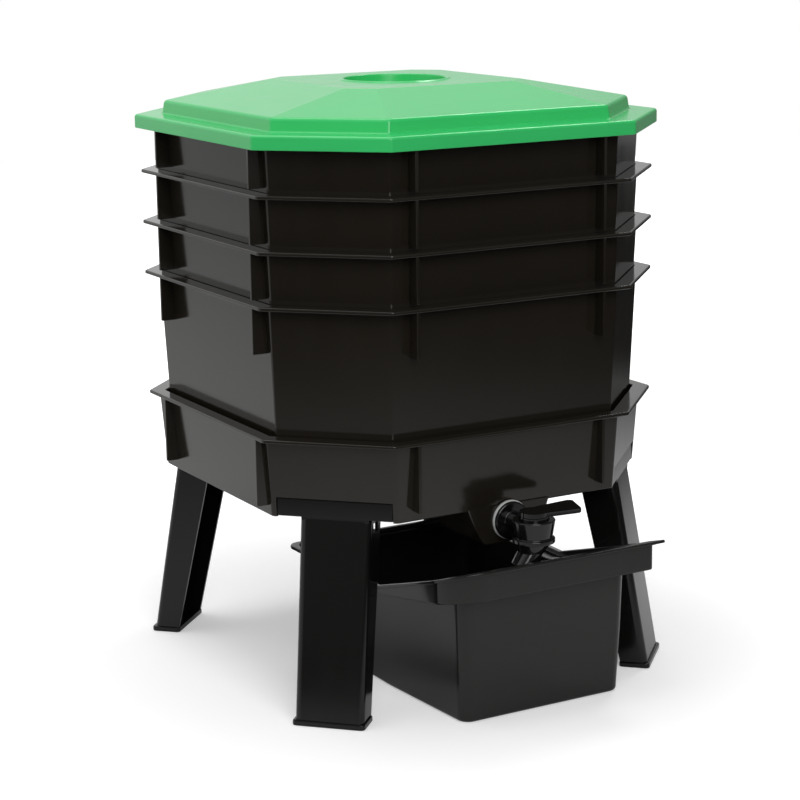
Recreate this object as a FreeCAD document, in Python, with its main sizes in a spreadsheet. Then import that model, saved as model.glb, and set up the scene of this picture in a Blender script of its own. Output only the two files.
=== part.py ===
import FreeCAD, Part
import math
import os
import Sketcher

# A stacking wormery: four nesting trays over a liquid collector on four legs, with a lid,
# a drain tap at the front and a loose scuttle that catches what the tap lets out.
# Origin: on the ground, on the centre line of the stack. +Z up, the tap faces -Y, +X to its right.

DOC = FreeCAD.newDocument("wormery")

# Driving dimensions in millimetres, angles in degrees
SIZES = [
    # Rims, shared by the trays and the collector
    ("rim_half", 210.0, "half width of every rim, flat to flat"),
    ("rim_cut", 85.7, "corner cut of the rims, along each side"),
    ("rim_thick", 3.5, "thickness of the rims"),
    ("edge_round", 4.0, "radius of the upright corners"),
    # Trays
    ("tray_count", 4, "number of nesting trays"),
    ("tray_inset", 12.4, "rim edge to the wall of a tray"),
    ("tray_cut_inset", 6.4, "corner cut of the rims, less that of a tray wall"),
    ("tray_half", "=rim_half - tray_inset", "half width of a tray wall at its rim"),
    ("tray_cut", "=rim_cut - tray_cut_inset", "corner cut of a tray wall at its rim"),
    ("tray_depth", 161.0, "rim to underside of the floor"),
    ("tray_draft", 2.6, "draft of the tray walls"),
    ("tray_wall", 1.8, "wall of a tray"),
    ("tray_floor", 2.2, "floor of a tray"),
    ("stack_pitch", 48.8, "rise from one tray rim to the next"),
    ("seat_gap", 0.3, "clearance where one piece stands on another"),
    ("rib_thick", 3.0, "thickness of the outside ribs"),
    ("tray_rib_drop", 44.7, "rim to the foot of a tray rib"),
    ("side_rib_back", 87.0, "left and right sides: middle to the rib on one side of it"),
    ("side_rib_front", 107.5, "left and right sides: middle to the rib on its other side"),
    ("front_rib_right", 95.0, "front and back: middle to the rib on one side of it"),
    ("front_rib_left", 97.0, "front and back: middle to the rib on its other side"),
    ("post_side", 16.0, "side of a square stacking post"),
    ("post_inset", 61.6, "tray wall at its rim to the middle of a stacking post"),
    ("post_reach", "=tray_half - post_inset", "stacking post, distance from both centre lines"),
    ("slot_wide", 5.0, "width of a drainage slot"),
    ("slot_long", 38.0, "length of a drainage slot"),
    ("slot_rows", 9, "rows of drainage slots"),
    ("slot_pitch", 26.0, "spacing of the rows of slots"),
    # Collector, the base with the sump
    ("base_rim_height", 257.7, "ground to the top of the collector rim"),
    ("first_tray_rise", 118.4, "collector rim to the rim of the lowest tray"),
    ("base_inset", 7.5, "rim edge to the wall of the collector"),
    ("base_cut_inset", 0.3, "corner cut of the rims, less that of the collector wall"),
    ("base_half", "=rim_half - base_inset", "half width of the collector wall at its rim"),
    ("base_cut", "=rim_cut - base_cut_inset", "corner cut of the collector wall at its rim"),
    ("base_depth", 74.1, "collector rim to its underside"),
    ("base_draft", 4.0, "draft of the collector wall"),
    ("base_wall", 2.5, "wall of the collector"),
    ("base_floor", 2.5, "floor of the collector"),
    ("mouth_lip", 3.0, "how far the collector rim laps in over its wall"),
    ("base_rib_drop", 64.4, "collector rim to the foot of its ribs"),
    ("sump_half", 43.5, "half width of the sump at its top"),
    ("sump_waist", 38.0, "half width of the sump where its sides turn in"),
    ("sump_toe", 27.0, "half width of the sump at its bottom"),
    ("sump_set", 3.2, "collector wall at its rim to the front face of the sump"),
    ("sump_face", "=base_half - sump_set", "centre line to the front face of the sump"),
    ("sump_long", 74.0, "front to back of the sump"),
    ("sump_drop", 33.0, "how far the sump hangs below the collector"),
    ("sump_turn", 13.2, "how far below the collector the sides of the sump turn in"),
    ("sump_wall", 3.0, "wall of the sump"),
    # Legs
    ("leg_inset", 5.0, "cut corner of the collector at its rim to the top of a leg"),
    ("leg_splay", 31.5, "how far a leg spreads outwards from its top to the ground"),
    ("leg_top", "=(2 * base_half - base_cut) * sqrt(0.5) - leg_inset",
     "centre to the leg's outer face under the collector"),
    ("leg_foot", "=leg_top + leg_splay", "centre to the leg's outer face at the ground"),
    ("leg_wide_top", 65.5, "width of a leg at the top"),
    ("leg_wide_foot", 64.4, "width of a leg at the foot"),
    ("leg_deep_top", 36.0, "depth of the side flanges at the top"),
    ("leg_deep_foot", 26.0, "depth of the side flanges at the foot"),
    ("leg_wall", 2.8, "wall of a leg"),
    ("head_half", 53.5, "half width of the head plate of a leg"),
    ("head_tall", 18.0, "height of the head plate"),
    ("head_deep", 9.5, "depth of the head plate"),
    ("head_gap", 0.5, "clearance round the head in its socket"),
    ("foot_lip", 2.5, "how far the foot stands out round the leg"),
    ("foot_tall", 5.0, "height of the foot"),
    ("foot_sole", 3.0, "thickness of the closed sole"),
    ("latch_wide", 7.0, "width of the latch slot in a side flange"),
    ("latch_tall", 9.0, "height of the latch slot"),
    ("latch_drop", 4.0, "latch slot below the top of the flange"),
    # Lid
    ("lid_gap", 1.5, "clearance between the rims and the lid skirt"),
    ("lid_wall", 2.5, "wall of the lid skirt"),
    ("lid_skirt", 9.7, "how far the skirt hangs below the seat"),
    ("lid_flange", 3.3, "thickness of the lid over the rim"),
    ("plinth_inset", 20.0, "rim edge to the raised part at its foot"),
    ("plinth_cut_inset", 10.2, "corner cut of the rims, less that of the raised part"),
    ("plinth_half", "=rim_half - plinth_inset", "half width of the raised part at its foot"),
    ("plinth_cut", "=rim_cut - plinth_cut_inset", "corner cut of the raised part"),
    ("plinth_root", 0.5, "how far the raised part is rooted in the flange"),
    ("plinth_draw", 1.4, "how far the raised part draws in by its top"),
    ("plinth_tall", 12.4, "height of the upright side of the raised part"),
    ("crown_half", 94.0, "half width of the middle panel"),
    ("crown_cut", 21.0, "corner cut of the middle panel"),
    ("crown_tall", 18.0, "rise from the plinth edge to the middle panel"),
    ("lid_shell", 2.6, "thickness of the raised part"),
    ("grip_radius", 50.0, "radius of the round grip recess"),
    ("grip_deep", 8.0, "depth of the grip recess"),
    # Tap
    ("tap_drop", 12.1, "underside of the collector to the middle of the tap's inlet"),
    ("tap_height", "=base_rim_height - base_depth - tap_drop",
     "ground to the middle of the tap's inlet"),
    ("tap_reach", 40.7, "sump face to the upright axis of the tap"),
    ("shank_radius", 9.9, "radius of the threaded shank"),
    ("shank_long", 21.0, "shank behind the sump face"),
    ("hole_gap", 0.3, "clearance of the shank in its hole"),
    ("washer_radius", 18.5, "radius of the outer washer"),
    ("washer_thick", 3.0, "thickness of the washers"),
    ("collar_radius", 16.5, "radius of the tap's collar"),
    ("collar_thick", 3.5, "thickness of the tap's collar"),
    ("inlet_radius", 8.5, "radius of the barrel"),
    ("inlet_bore", 5.0, "radius of the bore in the barrel"),
    ("nut_half", 13.5, "half of the nut across its flats"),
    ("nut_thick", 9.0, "thickness of the nut"),
    ("house_top", 10.0, "inlet to the top of the valve housing"),
    ("house_radius", 19.5, "radius of the housing at its top"),
    ("house_waist", 16.0, "radius of the housing above its ring"),
    ("house_ring", 19.2, "radius of the ring round the housing"),
    ("ring_top", -7.0, "inlet to the top of the ring"),
    ("ring_tall", 4.0, "height of the ring"),
    ("spout_radius", 12.0, "radius of the spout"),
    ("spout_top", -19.5, "inlet to the top of the spout"),
    ("spout_end", -29.0, "inlet to the mouth of the spout"),
    ("spout_bore", 8.0, "radius of the bore of the spout"),
    ("spout_taper", 0.7, "how much the spout narrows towards its mouth"),
    ("waist_flare", 0.6, "how much the housing widens at its ring"),
    ("web_wide", 13.6, "width across the two webs under the barrel"),
    ("web_thick", 2.8, "thickness of each web"),
    ("web_foot", 8.0, "mouth of the spout to the foot of the webs"),
    ("web_root", 2.0, "how far the webs run into the spout"),
    ("web_bite", 0.5, "how far the gap between the webs cuts into the spout"),
    ("core_radius", 10.0, "radius of the valve core"),
    ("core_gap", 0.08, "running clearance of the valve core"),
    ("core_foot", -17.0, "inlet to the foot of the core"),
    ("stem_radius", 5.5, "radius of the stem on the core"),
    ("stem_gap", 0.08, "running clearance of the stem in its cap"),
    ("stem_square", 3.85, "half side of the square that carries the lever"),
    ("port_radius", 4.6, "radius of the port in the side of the core"),
    ("axis_gap", 0.01, "hair's breadth between a turned profile and its axis"),
    ("cap_thick", 2.8, "thickness of the cap over the core"),
    ("cap_radius", 13.5, "radius of the cap"),
    ("lever_gap", 0.4, "clearance between the cap and the lever"),
    ("lever_thick", 4.0, "thickness of the lever"),
    ("lever_hub", 13.0, "radius of the hub of the lever"),
    ("lever_root", 9.75, "half width of the paddle at the hub"),
    ("lever_round", 2.4, "radius of the corners of the lever"),
    ("lever_skin", 1.0, "thickness of the lever over its socket"),
    ("lever_long", 46.0, "axis to the end of the lever"),
    ("lever_skew", 5.0, "how far the end of the lever leans"),
    ("lever_half_tip", 16.0, "half width of the lever at its end"),
    ("ring_gap", 0.05, "clearance of the sealing ring"),
    ("ring_thick", 1.6, "thickness of the sealing ring"),
    # Strainer over the sump
    ("strainer_lap", 7.0, "how far the strainer laps past the sump"),
    ("strainer_thick", 2.0, "thickness of the strainer"),
    ("strainer_tongue", 4.0, "depth of the locating rim of the strainer"),
    ("strainer_gap", 0.4, "clearance of the strainer in the sump"),
    ("strainer_slot", 2.4, "width of a slot in the strainer"),
    ("strainer_slots", 10, "number of slots in the strainer"),
    # Scuttle under the tap
    ("bin_x", 9.0, "middle of the scuttle, to the right of the tap"),
    ("collar_lead", 10.0, "how far the scuttle's collar reaches in front of the tap's axis"),
    ("collar_long", 300.0, "front to back of the collar"),
    ("collar_rise_long", 138.0, "length of the part of the side rims that rises"),
    ("collar_half", 109.0, "half width of the raised collar"),
    ("collar_round", 38.0, "radius of the collar's front corners"),
    ("collar_back_round", 17.0, "radius of the collar's back corners"),
    ("collar_low", 97.0, "height of the back rim"),
    ("collar_rise", 4.0, "how much the side rims rise before they turn up"),
    ("collar_high", 140.0, "height of the front rim"),
    ("ledge_back", 93.0, "height of the collar's lower edge at the back"),
    ("ledge_turn", 94.0, "the same, where the side rims turn up"),
    ("ledge_front", 105.6, "the same, at the front"),
    ("bin_inset", 14.0, "front of the collar to the front of the tub at the ground"),
    ("bin_long", 272.0, "front to back of the tub at the ground"),
    ("bin_half", 88.0, "half width of the tub at the ground"),
    ("bin_draft", 2.2, "draft of the tub"),
    ("bin_round", 11.0, "radius of the tub's upright corners"),
    ("bin_wall", 2.6, "wall of the scuttle"),
    ("bin_base", 3.0, "floor of the scuttle"),
    ("lip_wide", 3.0, "how far the bead stands out round the rim"),
    ("lip_thick", 3.0, "height of the bead"),
    ("collar_front", "=sump_face + tap_reach + collar_lead", "centre line to the front of the collar"),
    ("collar_back", "=collar_front - collar_long", "the same, to its back"),
    ("collar_turn", "=collar_front - collar_rise_long", "the same, to where the side rims turn up"),
    ("bin_front", "=collar_front - bin_inset", "centre line to the front of the tub"),
    ("bin_back", "=bin_front - bin_long", "the same, to its back"),
    # Room for the shapes that only cut others
    ("cut_over", 1.0, "how far a cut starts outside what it cuts"),
    ("cut_past", 20.0, "how far the scuttle's cutting shapes reach past its collar"),
]

sheet = DOC.addObject("Spreadsheet::Sheet", "sizes")
for row, (alias, number, meaning) in enumerate(SIZES, start=1):
    sheet.set(f"A{row}", meaning)
    sheet.set(f"B{row}", str(number))
    sheet.setAlias(f"B{row}", alias)
DOC.recompute()

NODES = []


def bound(text):
    """Turn an expression in bare size names into one that reads the sheet."""
    words = []
    word = ""
    for letter in text + " ":
        if letter.isalnum() or letter == "_":
            word += letter
            continue
        words.append("sizes." + word if word in ALIASES else word)
        words.append(letter)
        word = ""
    return "".join(words).strip()


ALIASES = {alias for alias, number, meaning in SIZES}


def size(text):
    """The present value of an expression in size names."""
    return float(sheet.evalExpression(bound(text)))


def bind(thing, path, text):
    thing.setExpression(path, bound(text))


# Heights that several pieces share, as expressions in the sizes
TRAY_ONE_RIM = "(base_rim_height + first_tray_rise)"
TOP_RIM = f"({TRAY_ONE_RIM} + (tray_count - 1) * stack_pitch)"
BASE_UNDERSIDE = "(base_rim_height - base_depth)"


def new_body(label, height="0", along="0", across="0"):
    """A body for one piece, set down at its place."""
    body = DOC.addObject("PartDesign::Body", label)
    body.Label = label
    bind(body, "Placement.Base.x", across)
    bind(body, "Placement.Base.y", along)
    bind(body, "Placement.Base.z", height)
    NODES.append(body)
    return body


def new_sketch(body, name, role="XY_Plane", offset="0"):
    sketch = body.newObject("Sketcher::SketchObject", name)
    plane = next(item for item in body.Origin.OriginFeatures if item.Role == role)
    sketch.AttachmentSupport = [(plane, "")]
    sketch.MapMode = "FlatFace"
    bind(sketch, "AttachmentOffset.Base.z", offset)
    return sketch


def pin(sketch, kind, first, first_end, second, second_end, text):
    """A distance between two points of a sketch, bound to the sheet."""
    number = sketch.addConstraint(
        Sketcher.Constraint(kind, first, first_end, second, second_end, size(text)))
    name = f"d{number}"
    sketch.renameConstraint(number, name)
    bind(sketch, f"Constraints.{name}", text)


def polygon(sketch, corners):
    """A closed outline through corners, each a pair of expressions from the origin."""
    start = sketch.GeometryCount
    spots = [FreeCAD.Vector(size(x), size(y), 0) for x, y in corners]
    count = len(spots)
    for index, spot in enumerate(spots):
        sketch.addGeometry(Part.LineSegment(spot, spots[(index + 1) % count]), False)
    for index, (x, y) in enumerate(corners):
        line = start + index
        following = start + (index + 1) % count
        sketch.addConstraint(Sketcher.Constraint("Coincident", line, 2, following, 1))
        pin(sketch, "DistanceX", -1, 1, line, 1, x)
        pin(sketch, "DistanceY", -1, 1, line, 1, y)
    return sketch


def circle(sketch, radius, x=None, y=None):
    """A circle on the origin, or at x and y from it."""
    centre = FreeCAD.Vector(size(x) if x else 0, size(y) if y else 0, 0)
    ring = sketch.addGeometry(Part.Circle(centre, FreeCAD.Vector(0, 0, 1), size(radius)), False)
    if x is None and y is None:
        sketch.addConstraint(Sketcher.Constraint("Coincident", ring, 3, -1, 1))
    else:
        if x is None:
            sketch.addConstraint(Sketcher.Constraint("PointOnObject", ring, 3, -2))
        else:
            pin(sketch, "DistanceX", -1, 1, ring, 3, x)
        if y is None:
            sketch.addConstraint(Sketcher.Constraint("PointOnObject", ring, 3, -1))
        else:
            pin(sketch, "DistanceY", -1, 1, ring, 3, y)
    number = sketch.addConstraint(Sketcher.Constraint("Radius", ring, size(radius)))
    sketch.renameConstraint(number, f"r{number}")
    bind(sketch, f"Constraints.r{number}", radius)
    return sketch


def octagon(half, cut):
    """A square with its corners cut off, as corners for polygon."""
    flat = f"({half} - {cut})"
    quarter = [(half, flat), (flat, half)]
    corners = []
    for x_sign, y_sign, order in ((1, 1, 1), (-1, 1, -1), (-1, -1, 1), (1, -1, -1)):
        for x, y in quarter[::order]:
            corners.append((f"{x_sign} * {x}", f"{y_sign} * {y}"))
    return corners


def rectangle(left, right, low, high):
    return [(left, low), (right, low), (right, high), (left, high)]


def turned(inner, outer, half, corner):
    """A rectangle square to one of the four cut corners: radial from inner to outer."""
    x_sign, y_sign = corner
    spots = []
    for radial, side in ((inner, -1), (outer, -1), (outer, 1), (inner, 1)):
        x = f"{x_sign} * ({radial} + {side} * {half}) * sqrt(0.5)"
        y = f"{y_sign} * ({radial} - {side} * {half}) * sqrt(0.5)"
        spots.append((x, y))
    return spots


CORNERS = ((1, 1), (-1, 1), (-1, -1), (1, -1))


def extrude(kind, body, name, sketch, length, flip=False, both=False):
    feature = body.newObject("PartDesign::" + kind, name)
    feature.Profile = sketch
    bind(feature, "Length", length)
    feature.Reversed = flip
    if both:
        feature.SideType = "Symmetric"
    body.Tip = feature
    return feature


def pad(body, name, sketch, length, **rest):
    return extrude("Pad", body, name, sketch, length, **rest)


def pocket(body, name, sketch, length, **rest):
    return extrude("Pocket", body, name, sketch, length, **rest)


def loft(body, kind, name, sections):
    feature = body.newObject("PartDesign::" + kind, name)
    feature.Profile = sections[0]
    feature.Sections = sections[1:]
    feature.Ruled = True
    body.Tip = feature
    return feature


def drafted(body, kind, name, half, cut, top, depth, draft):
    """A hollow or solid octagon that draws in by its draft on the way down from top."""
    drawn = f"({depth} * tan({draft}))"
    upper = polygon(new_sketch(body, name + "_top", offset=top), octagon(half, cut))
    lower = polygon(new_sketch(body, name + "_foot", offset=f"{top} - {depth}"),
                    octagon(f"({half} - {drawn})", f"({cut} - {drawn} * (2 - sqrt(2)))"))
    return loft(body, kind, name, [upper, lower])


def upright_edges(shape, test, lean=0.2):
    """Names of the straight edges that run nearly along Z and whose middle passes the test."""
    names = []
    for number, edge in enumerate(shape.Edges, start=1):
        run = edge.Vertexes[-1].Point - edge.Vertexes[0].Point
        straight = abs(run.Length - edge.Length) < 0.001
        if not straight or abs(run.z) < (1 - lean) * run.Length:
            continue
        if test(edge.CenterOfMass):
            names.append(f"Edge{number}")
    return names


def round_edges(body, name, base, names, radius):
    feature = body.newObject("PartDesign::Fillet", name)
    feature.Base = (base, names)
    bind(feature, "Radius", radius)
    body.Tip = feature
    return feature


def far_out(reach):
    """A test for edges that stand farther from the centre line than reach."""
    return lambda spot: math.hypot(spot.x, spot.y) > reach


def rim_reach():
    """A little less than the distance of the rims' corners from the centre line."""
    return math.hypot(size("rim_half"), size("rim_half - rim_cut")) - size("rim_thick")


def rib_outlines(sketch, inner, outer):
    """Two ribs on each of the four long sides; opposite sides match after half a turn."""
    for low in ("-1 * (side_rib_front + rib_thick)", "side_rib_back"):
        high = f"{low} + rib_thick"
        polygon(sketch, rectangle(f"-1 * ({outer})", f"-1 * ({inner})", low, high))
        polygon(sketch, rectangle(inner, outer, f"-1 * ({high})", f"-1 * ({low})"))
    for low in ("-1 * (front_rib_left + rib_thick)", "front_rib_right"):
        high = f"{low} + rib_thick"
        polygon(sketch, rectangle(low, high, f"-1 * ({outer})", f"-1 * ({inner})"))
        polygon(sketch, rectangle(f"-1 * ({high})", f"-1 * ({low})", inner, outer))
    return sketch


def posts(body, name, floor, height):
    """Four square posts inside the corners, which carry the floor of the piece above."""
    sketch = new_sketch(body, name + "_outline", offset=floor)
    near = "(post_reach - post_side / 2)"
    far = "(post_reach + post_side / 2)"
    for x_sign, y_sign in CORNERS:
        polygon(sketch, [(f"{x_sign} * {x}", f"{y_sign} * {y}")
                         for x, y in ((near, near), (far, near), (far, far), (near, far))])
    return pad(body, name, sketch, height)


def make_tray(number):
    """One nesting tray: drafted wall, wide rim, outside ribs, slotted floor, stacking posts."""
    rim = f"{TRAY_ONE_RIM} + {number - 1} * stack_pitch"
    body = new_body(f"tray_{number}", height=rim)
    drafted(body, "AdditiveLoft", "wall", "tray_half", "tray_cut", "0", "tray_depth",
            "tray_draft")
    rim_outline = polygon(new_sketch(body, "rim_outline"), octagon("rim_half", "rim_cut"))
    pad(body, "rim", rim_outline, "rim_thick", flip=True)
    ribs_outline = rib_outlines(new_sketch(body, "ribs_outline"),
                                "tray_half - tray_wall - tray_rib_drop * tan(tray_draft)",
                                "rim_half - seat_gap")
    ribs = pad(body, "ribs", ribs_outline, "tray_rib_drop", flip=True)
    DOC.recompute()
    rim_corners = upright_edges(ribs.Shape, far_out(rim_reach()))
    round_edges(body, "rim_corners", ribs, rim_corners, "edge_round")
    drafted(body, "SubtractiveLoft", "cavity", "(tray_half - tray_wall)",
            "(tray_cut - tray_wall * (2 - sqrt(2)))", "0", "(tray_depth - tray_floor)", "tray_draft")
    slots = new_sketch(body, "slots_outline", offset="tray_floor - tray_depth")
    start = "(slot_rows - 1) / 2 * slot_pitch"
    for column in (-1, 0, 1):
        middle = f"{column} * (slot_long + post_side)"
        polygon(slots, rectangle(f"{middle} - slot_long / 2", f"{middle} + slot_long / 2",
                                 f"-1 * {start} - slot_wide / 2", f"-1 * {start} + slot_wide / 2"))
    first = pocket(body, "first_slots", slots, "tray_floor + cut_over")
    rows = body.newObject("PartDesign::LinearPattern", "slot_rows")
    rows.Originals = [first]
    rows.Direction = (slots, ["V_Axis"])
    bind(rows, "Length", "(slot_rows - 1) * slot_pitch")
    bind(rows, "Occurrences", "slot_rows")
    body.Tip = rows
    posts(body, "stacking_posts", "tray_floor - tray_depth", "stack_pitch - tray_floor - seat_gap")


def sump_outline(sketch, top, inset):
    """The sump seen from the front, narrowing towards its rounded foot."""
    side = f"(sump_half - {inset})"
    narrow = f"(sump_waist - {inset})"
    toe = f"(sump_toe - {inset})"
    foot = f"(-1 * base_depth - sump_drop + {inset})"
    waist = "(-1 * base_depth - sump_turn)"
    return polygon(sketch, [(f"-1 * {side}", top), (f"-1 * {narrow}", waist), (f"-1 * {toe}", foot),
                            (toe, foot), (narrow, waist), (side, top)])


def make_base():
    """The collector: drafted wall, rim, ribs, sump with the tap hole, sockets for the legs."""
    body = new_body("base_collector", height="base_rim_height")
    drafted(body, "AdditiveLoft", "wall", "base_half", "base_cut", "0", "base_depth",
            "base_draft")
    rim_outline = polygon(new_sketch(body, "rim_outline"), octagon("rim_half", "rim_cut"))
    pad(body, "rim", rim_outline, "rim_thick", flip=True)
    ribs_outline = rib_outlines(new_sketch(body, "ribs_outline"),
                                "base_half - base_wall - base_rib_drop * tan(base_draft)",
                                "rim_half - seat_gap")
    ribs = pad(body, "ribs", ribs_outline, "base_rib_drop", flip=True)
    DOC.recompute()
    rim_corners = upright_edges(ribs.Shape, far_out(rim_reach()))
    round_edges(body, "rim_corners", ribs, rim_corners, "edge_round")
    sump = sump_outline(new_sketch(body, "sump_outline", "XZ_Plane", "sump_face"),
                        "(-1 * sump_set / tan(base_draft) - seat_gap)", "0")
    pad(body, "sump", sump, "sump_long", flip=True)
    inset = "(base_wall + rim_thick * tan(base_draft))"
    drafted(body, "SubtractiveLoft", "cavity", f"(base_half - {inset})",
            f"(base_cut - {inset} * (2 - sqrt(2)))", "-1 * rim_thick",
            "(base_depth - base_floor - rim_thick)", "base_draft")
    mouth_outline = polygon(new_sketch(body, "mouth_outline"),
                            octagon("(base_half - base_wall - mouth_lip)",
                                    "(base_cut - (base_wall + mouth_lip) * (2 - sqrt(2)))"))
    pocket(body, "mouth", mouth_outline, "rim_thick + cut_over")
    sump_hollow = sump_outline(
        new_sketch(body, "sump_hollow_outline", "XZ_Plane", "sump_face - sump_wall"),
        "(base_floor - base_depth + cut_over)", "sump_wall")
    pocket(body, "sump_hollow", sump_hollow, "sump_long - 2 * sump_wall")
    tap_hole = circle(new_sketch(body, "tap_hole_outline", "XZ_Plane", "sump_face + cut_over"),
                      "shank_radius + hole_gap", y="tap_height - base_rim_height")
    pocket(body, "tap_hole", tap_hole, "sump_wall + 2 * cut_over")
    inner = "(leg_top - head_deep - head_gap - base_wall)"
    blocks = new_sketch(body, "sockets_outline", offset="-1 * base_depth")
    for corner in CORNERS:
        polygon(blocks, turned(inner, "(leg_top - base_wall / 2)",
                               "(head_half + head_gap + base_wall)", corner))
    pad(body, "sockets", blocks, "head_tall + head_gap + base_wall")
    notches = new_sketch(body, "notches_outline", offset="-1 * base_depth - cut_over")
    for corner in CORNERS:
        polygon(notches, turned(f"({inner} + base_wall)", "(leg_top + head_deep)",
                                "(head_half + head_gap)", corner))
    pocket(body, "notches", notches, "head_tall + head_gap + cut_over", flip=True)
    posts(body, "stacking_posts", "base_floor - base_depth",
          "base_depth - base_floor + first_tray_rise - tray_depth - seat_gap")


def make_leg(name, angle):
    """A tapered channel, open towards the stack, with a wide head plate and a foot."""
    body = new_body(name)
    body.Placement.Rotation = FreeCAD.Rotation(FreeCAD.Vector(0, 0, 1), angle)
    top = f"({BASE_UNDERSIDE} - seat_gap)"

    def section(tag, height, reach, depth, half, clear="0"):
        outline = new_sketch(body, tag, offset=height)
        inner = f"({reach} - {depth})"
        outer = f"({reach} - {clear})"
        return polygon(outline, rectangle(inner, outer, f"-1 * ({half} - {clear})",
                                          f"({half} - {clear})"))

    foot_section = section("foot_section", "0", "leg_foot", "leg_deep_foot", "leg_wide_foot / 2")
    top_section = section("top_section", top, "leg_top", "leg_deep_top", "leg_wide_top / 2")
    loft(body, "AdditiveLoft", "channel", [foot_section, top_section])
    foot = section("foot_outline", "0", "leg_foot + foot_lip", "leg_deep_foot + 2 * foot_lip",
                   "leg_wide_foot / 2 + foot_lip")
    lip = pad(body, "foot", foot, "foot_tall")
    DOC.recompute()
    lip_reach = size("leg_foot + foot_lip / 2")
    lip_edges = upright_edges(lip.Shape, lambda spot: spot.x > lip_reach)
    round_edges(body, "foot_edges", lip, lip_edges, "edge_round")
    sole = "foot_sole"
    hollow_foot = section("hollow_foot", sole, f"leg_foot - (leg_foot - leg_top) * ({sole}) / {top}",
                          "leg_deep_foot * 2", "leg_wide_foot / 2", "leg_wall")
    hollow_top = section("hollow_top", f"{top} + cut_over", "leg_top", "leg_deep_top * 2",
                         "leg_wide_top / 2", "leg_wall")
    loft(body, "SubtractiveLoft", "hollow", [hollow_foot, hollow_top])
    slots = new_sketch(body, "latch_outline", "XZ_Plane")
    slot_x = "(leg_top - leg_deep_top / 2)"
    slot_z = f"({top} - latch_drop - latch_tall)"
    polygon(slots, rectangle(f"{slot_x} - latch_wide / 2", f"{slot_x} + latch_wide / 2",
                             slot_z, f"{slot_z} + latch_tall"))
    pocket(body, "latch_slots", slots, "leg_wide_top * 2", both=True)
    head = new_sketch(body, "head_outline", offset=f"{top} - leg_wall")
    polygon(head, rectangle("leg_top - head_deep", "leg_top", "-1 * head_half", "head_half"))
    pad(body, "head", head, "head_tall + leg_wall")
    shelf = new_sketch(body, "head_hollow_outline", offset=f"{top} - leg_wall - cut_over")
    polygon(shelf, rectangle("leg_top - head_deep - cut_over", "leg_top - leg_wall",
                             "-1 * head_half + leg_wall", "head_half - leg_wall"))
    pocket(body, "head_hollow", shelf, "head_tall + cut_over", flip=True)


def make_lid():
    """The lid: skirt over the top rim, flat flange, raised faceted middle, round grip recess."""
    seat = f"{TOP_RIM} + seat_gap"
    body = new_body("lid", height=seat)
    outer_half = "(rim_half + lid_gap + lid_wall)"
    outer_cut = "(rim_cut + (lid_gap + lid_wall) * (2 - sqrt(2)))"
    skirt_outline = polygon(new_sketch(body, "skirt_outline", offset="-1 * lid_skirt"),
                            octagon(outer_half, outer_cut))
    skirt = pad(body, "skirt", skirt_outline, "lid_skirt + lid_flange")
    DOC.recompute()
    corners = upright_edges(skirt.Shape, far_out(size("post_reach")))
    round_edges(body, "skirt_corners", skirt, corners, "edge_round")

    def panels(tag, drop, inset):
        levels = (("foot", "lid_flange - plinth_root", "plinth_half", "plinth_cut"),
                  ("edge", "lid_flange + plinth_tall", "plinth_half - plinth_draw", "plinth_cut"),
                  ("crown", "lid_flange + plinth_tall + crown_tall", "crown_half", "crown_cut"))
        made = []
        for level, height, half, cut in levels:
            outline = new_sketch(body, f"{tag}_{level}", offset=f"{height} - {drop}")
            polygon(outline, octagon(f"({half} - {inset})", f"({cut} - {inset} * (2 - sqrt(2)))"))
            made.append(outline)
        return made

    foot, edge, crown = panels("raised", "0", "0")
    loft(body, "AdditiveLoft", "plinth", [foot, edge])
    loft(body, "AdditiveLoft", "dome", [edge, crown])
    inside_rim = polygon(new_sketch(body, "inside_outline", offset="-1 * lid_skirt - cut_over"),
                         octagon("(rim_half + lid_gap)", "(rim_cut + lid_gap * (2 - sqrt(2)))"))
    pocket(body, "inside", inside_rim, "lid_skirt + cut_over", flip=True)
    under_foot, under_edge, under_crown = panels("under", "lid_shell", "lid_shell")
    low_outline = polygon(new_sketch(body, "under_low", offset="-1 * plinth_root"),
                          octagon("(plinth_half - lid_shell)",
                                  "(plinth_cut - lid_shell * (2 - sqrt(2)))"))
    loft(body, "SubtractiveLoft", "plinth_hollow", [low_outline, under_edge])
    loft(body, "SubtractiveLoft", "dome_hollow", [under_edge, under_crown])
    crown_top = "(lid_flange + plinth_tall + crown_tall)"
    cup = circle(new_sketch(body, "cup_outline", offset=crown_top), "grip_radius + lid_shell")
    pad(body, "cup", cup, "grip_deep + lid_shell", flip=True)
    recess = circle(new_sketch(body, "recess_outline", offset=crown_top), "grip_radius")
    pocket(body, "recess", recess, "grip_deep")


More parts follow.
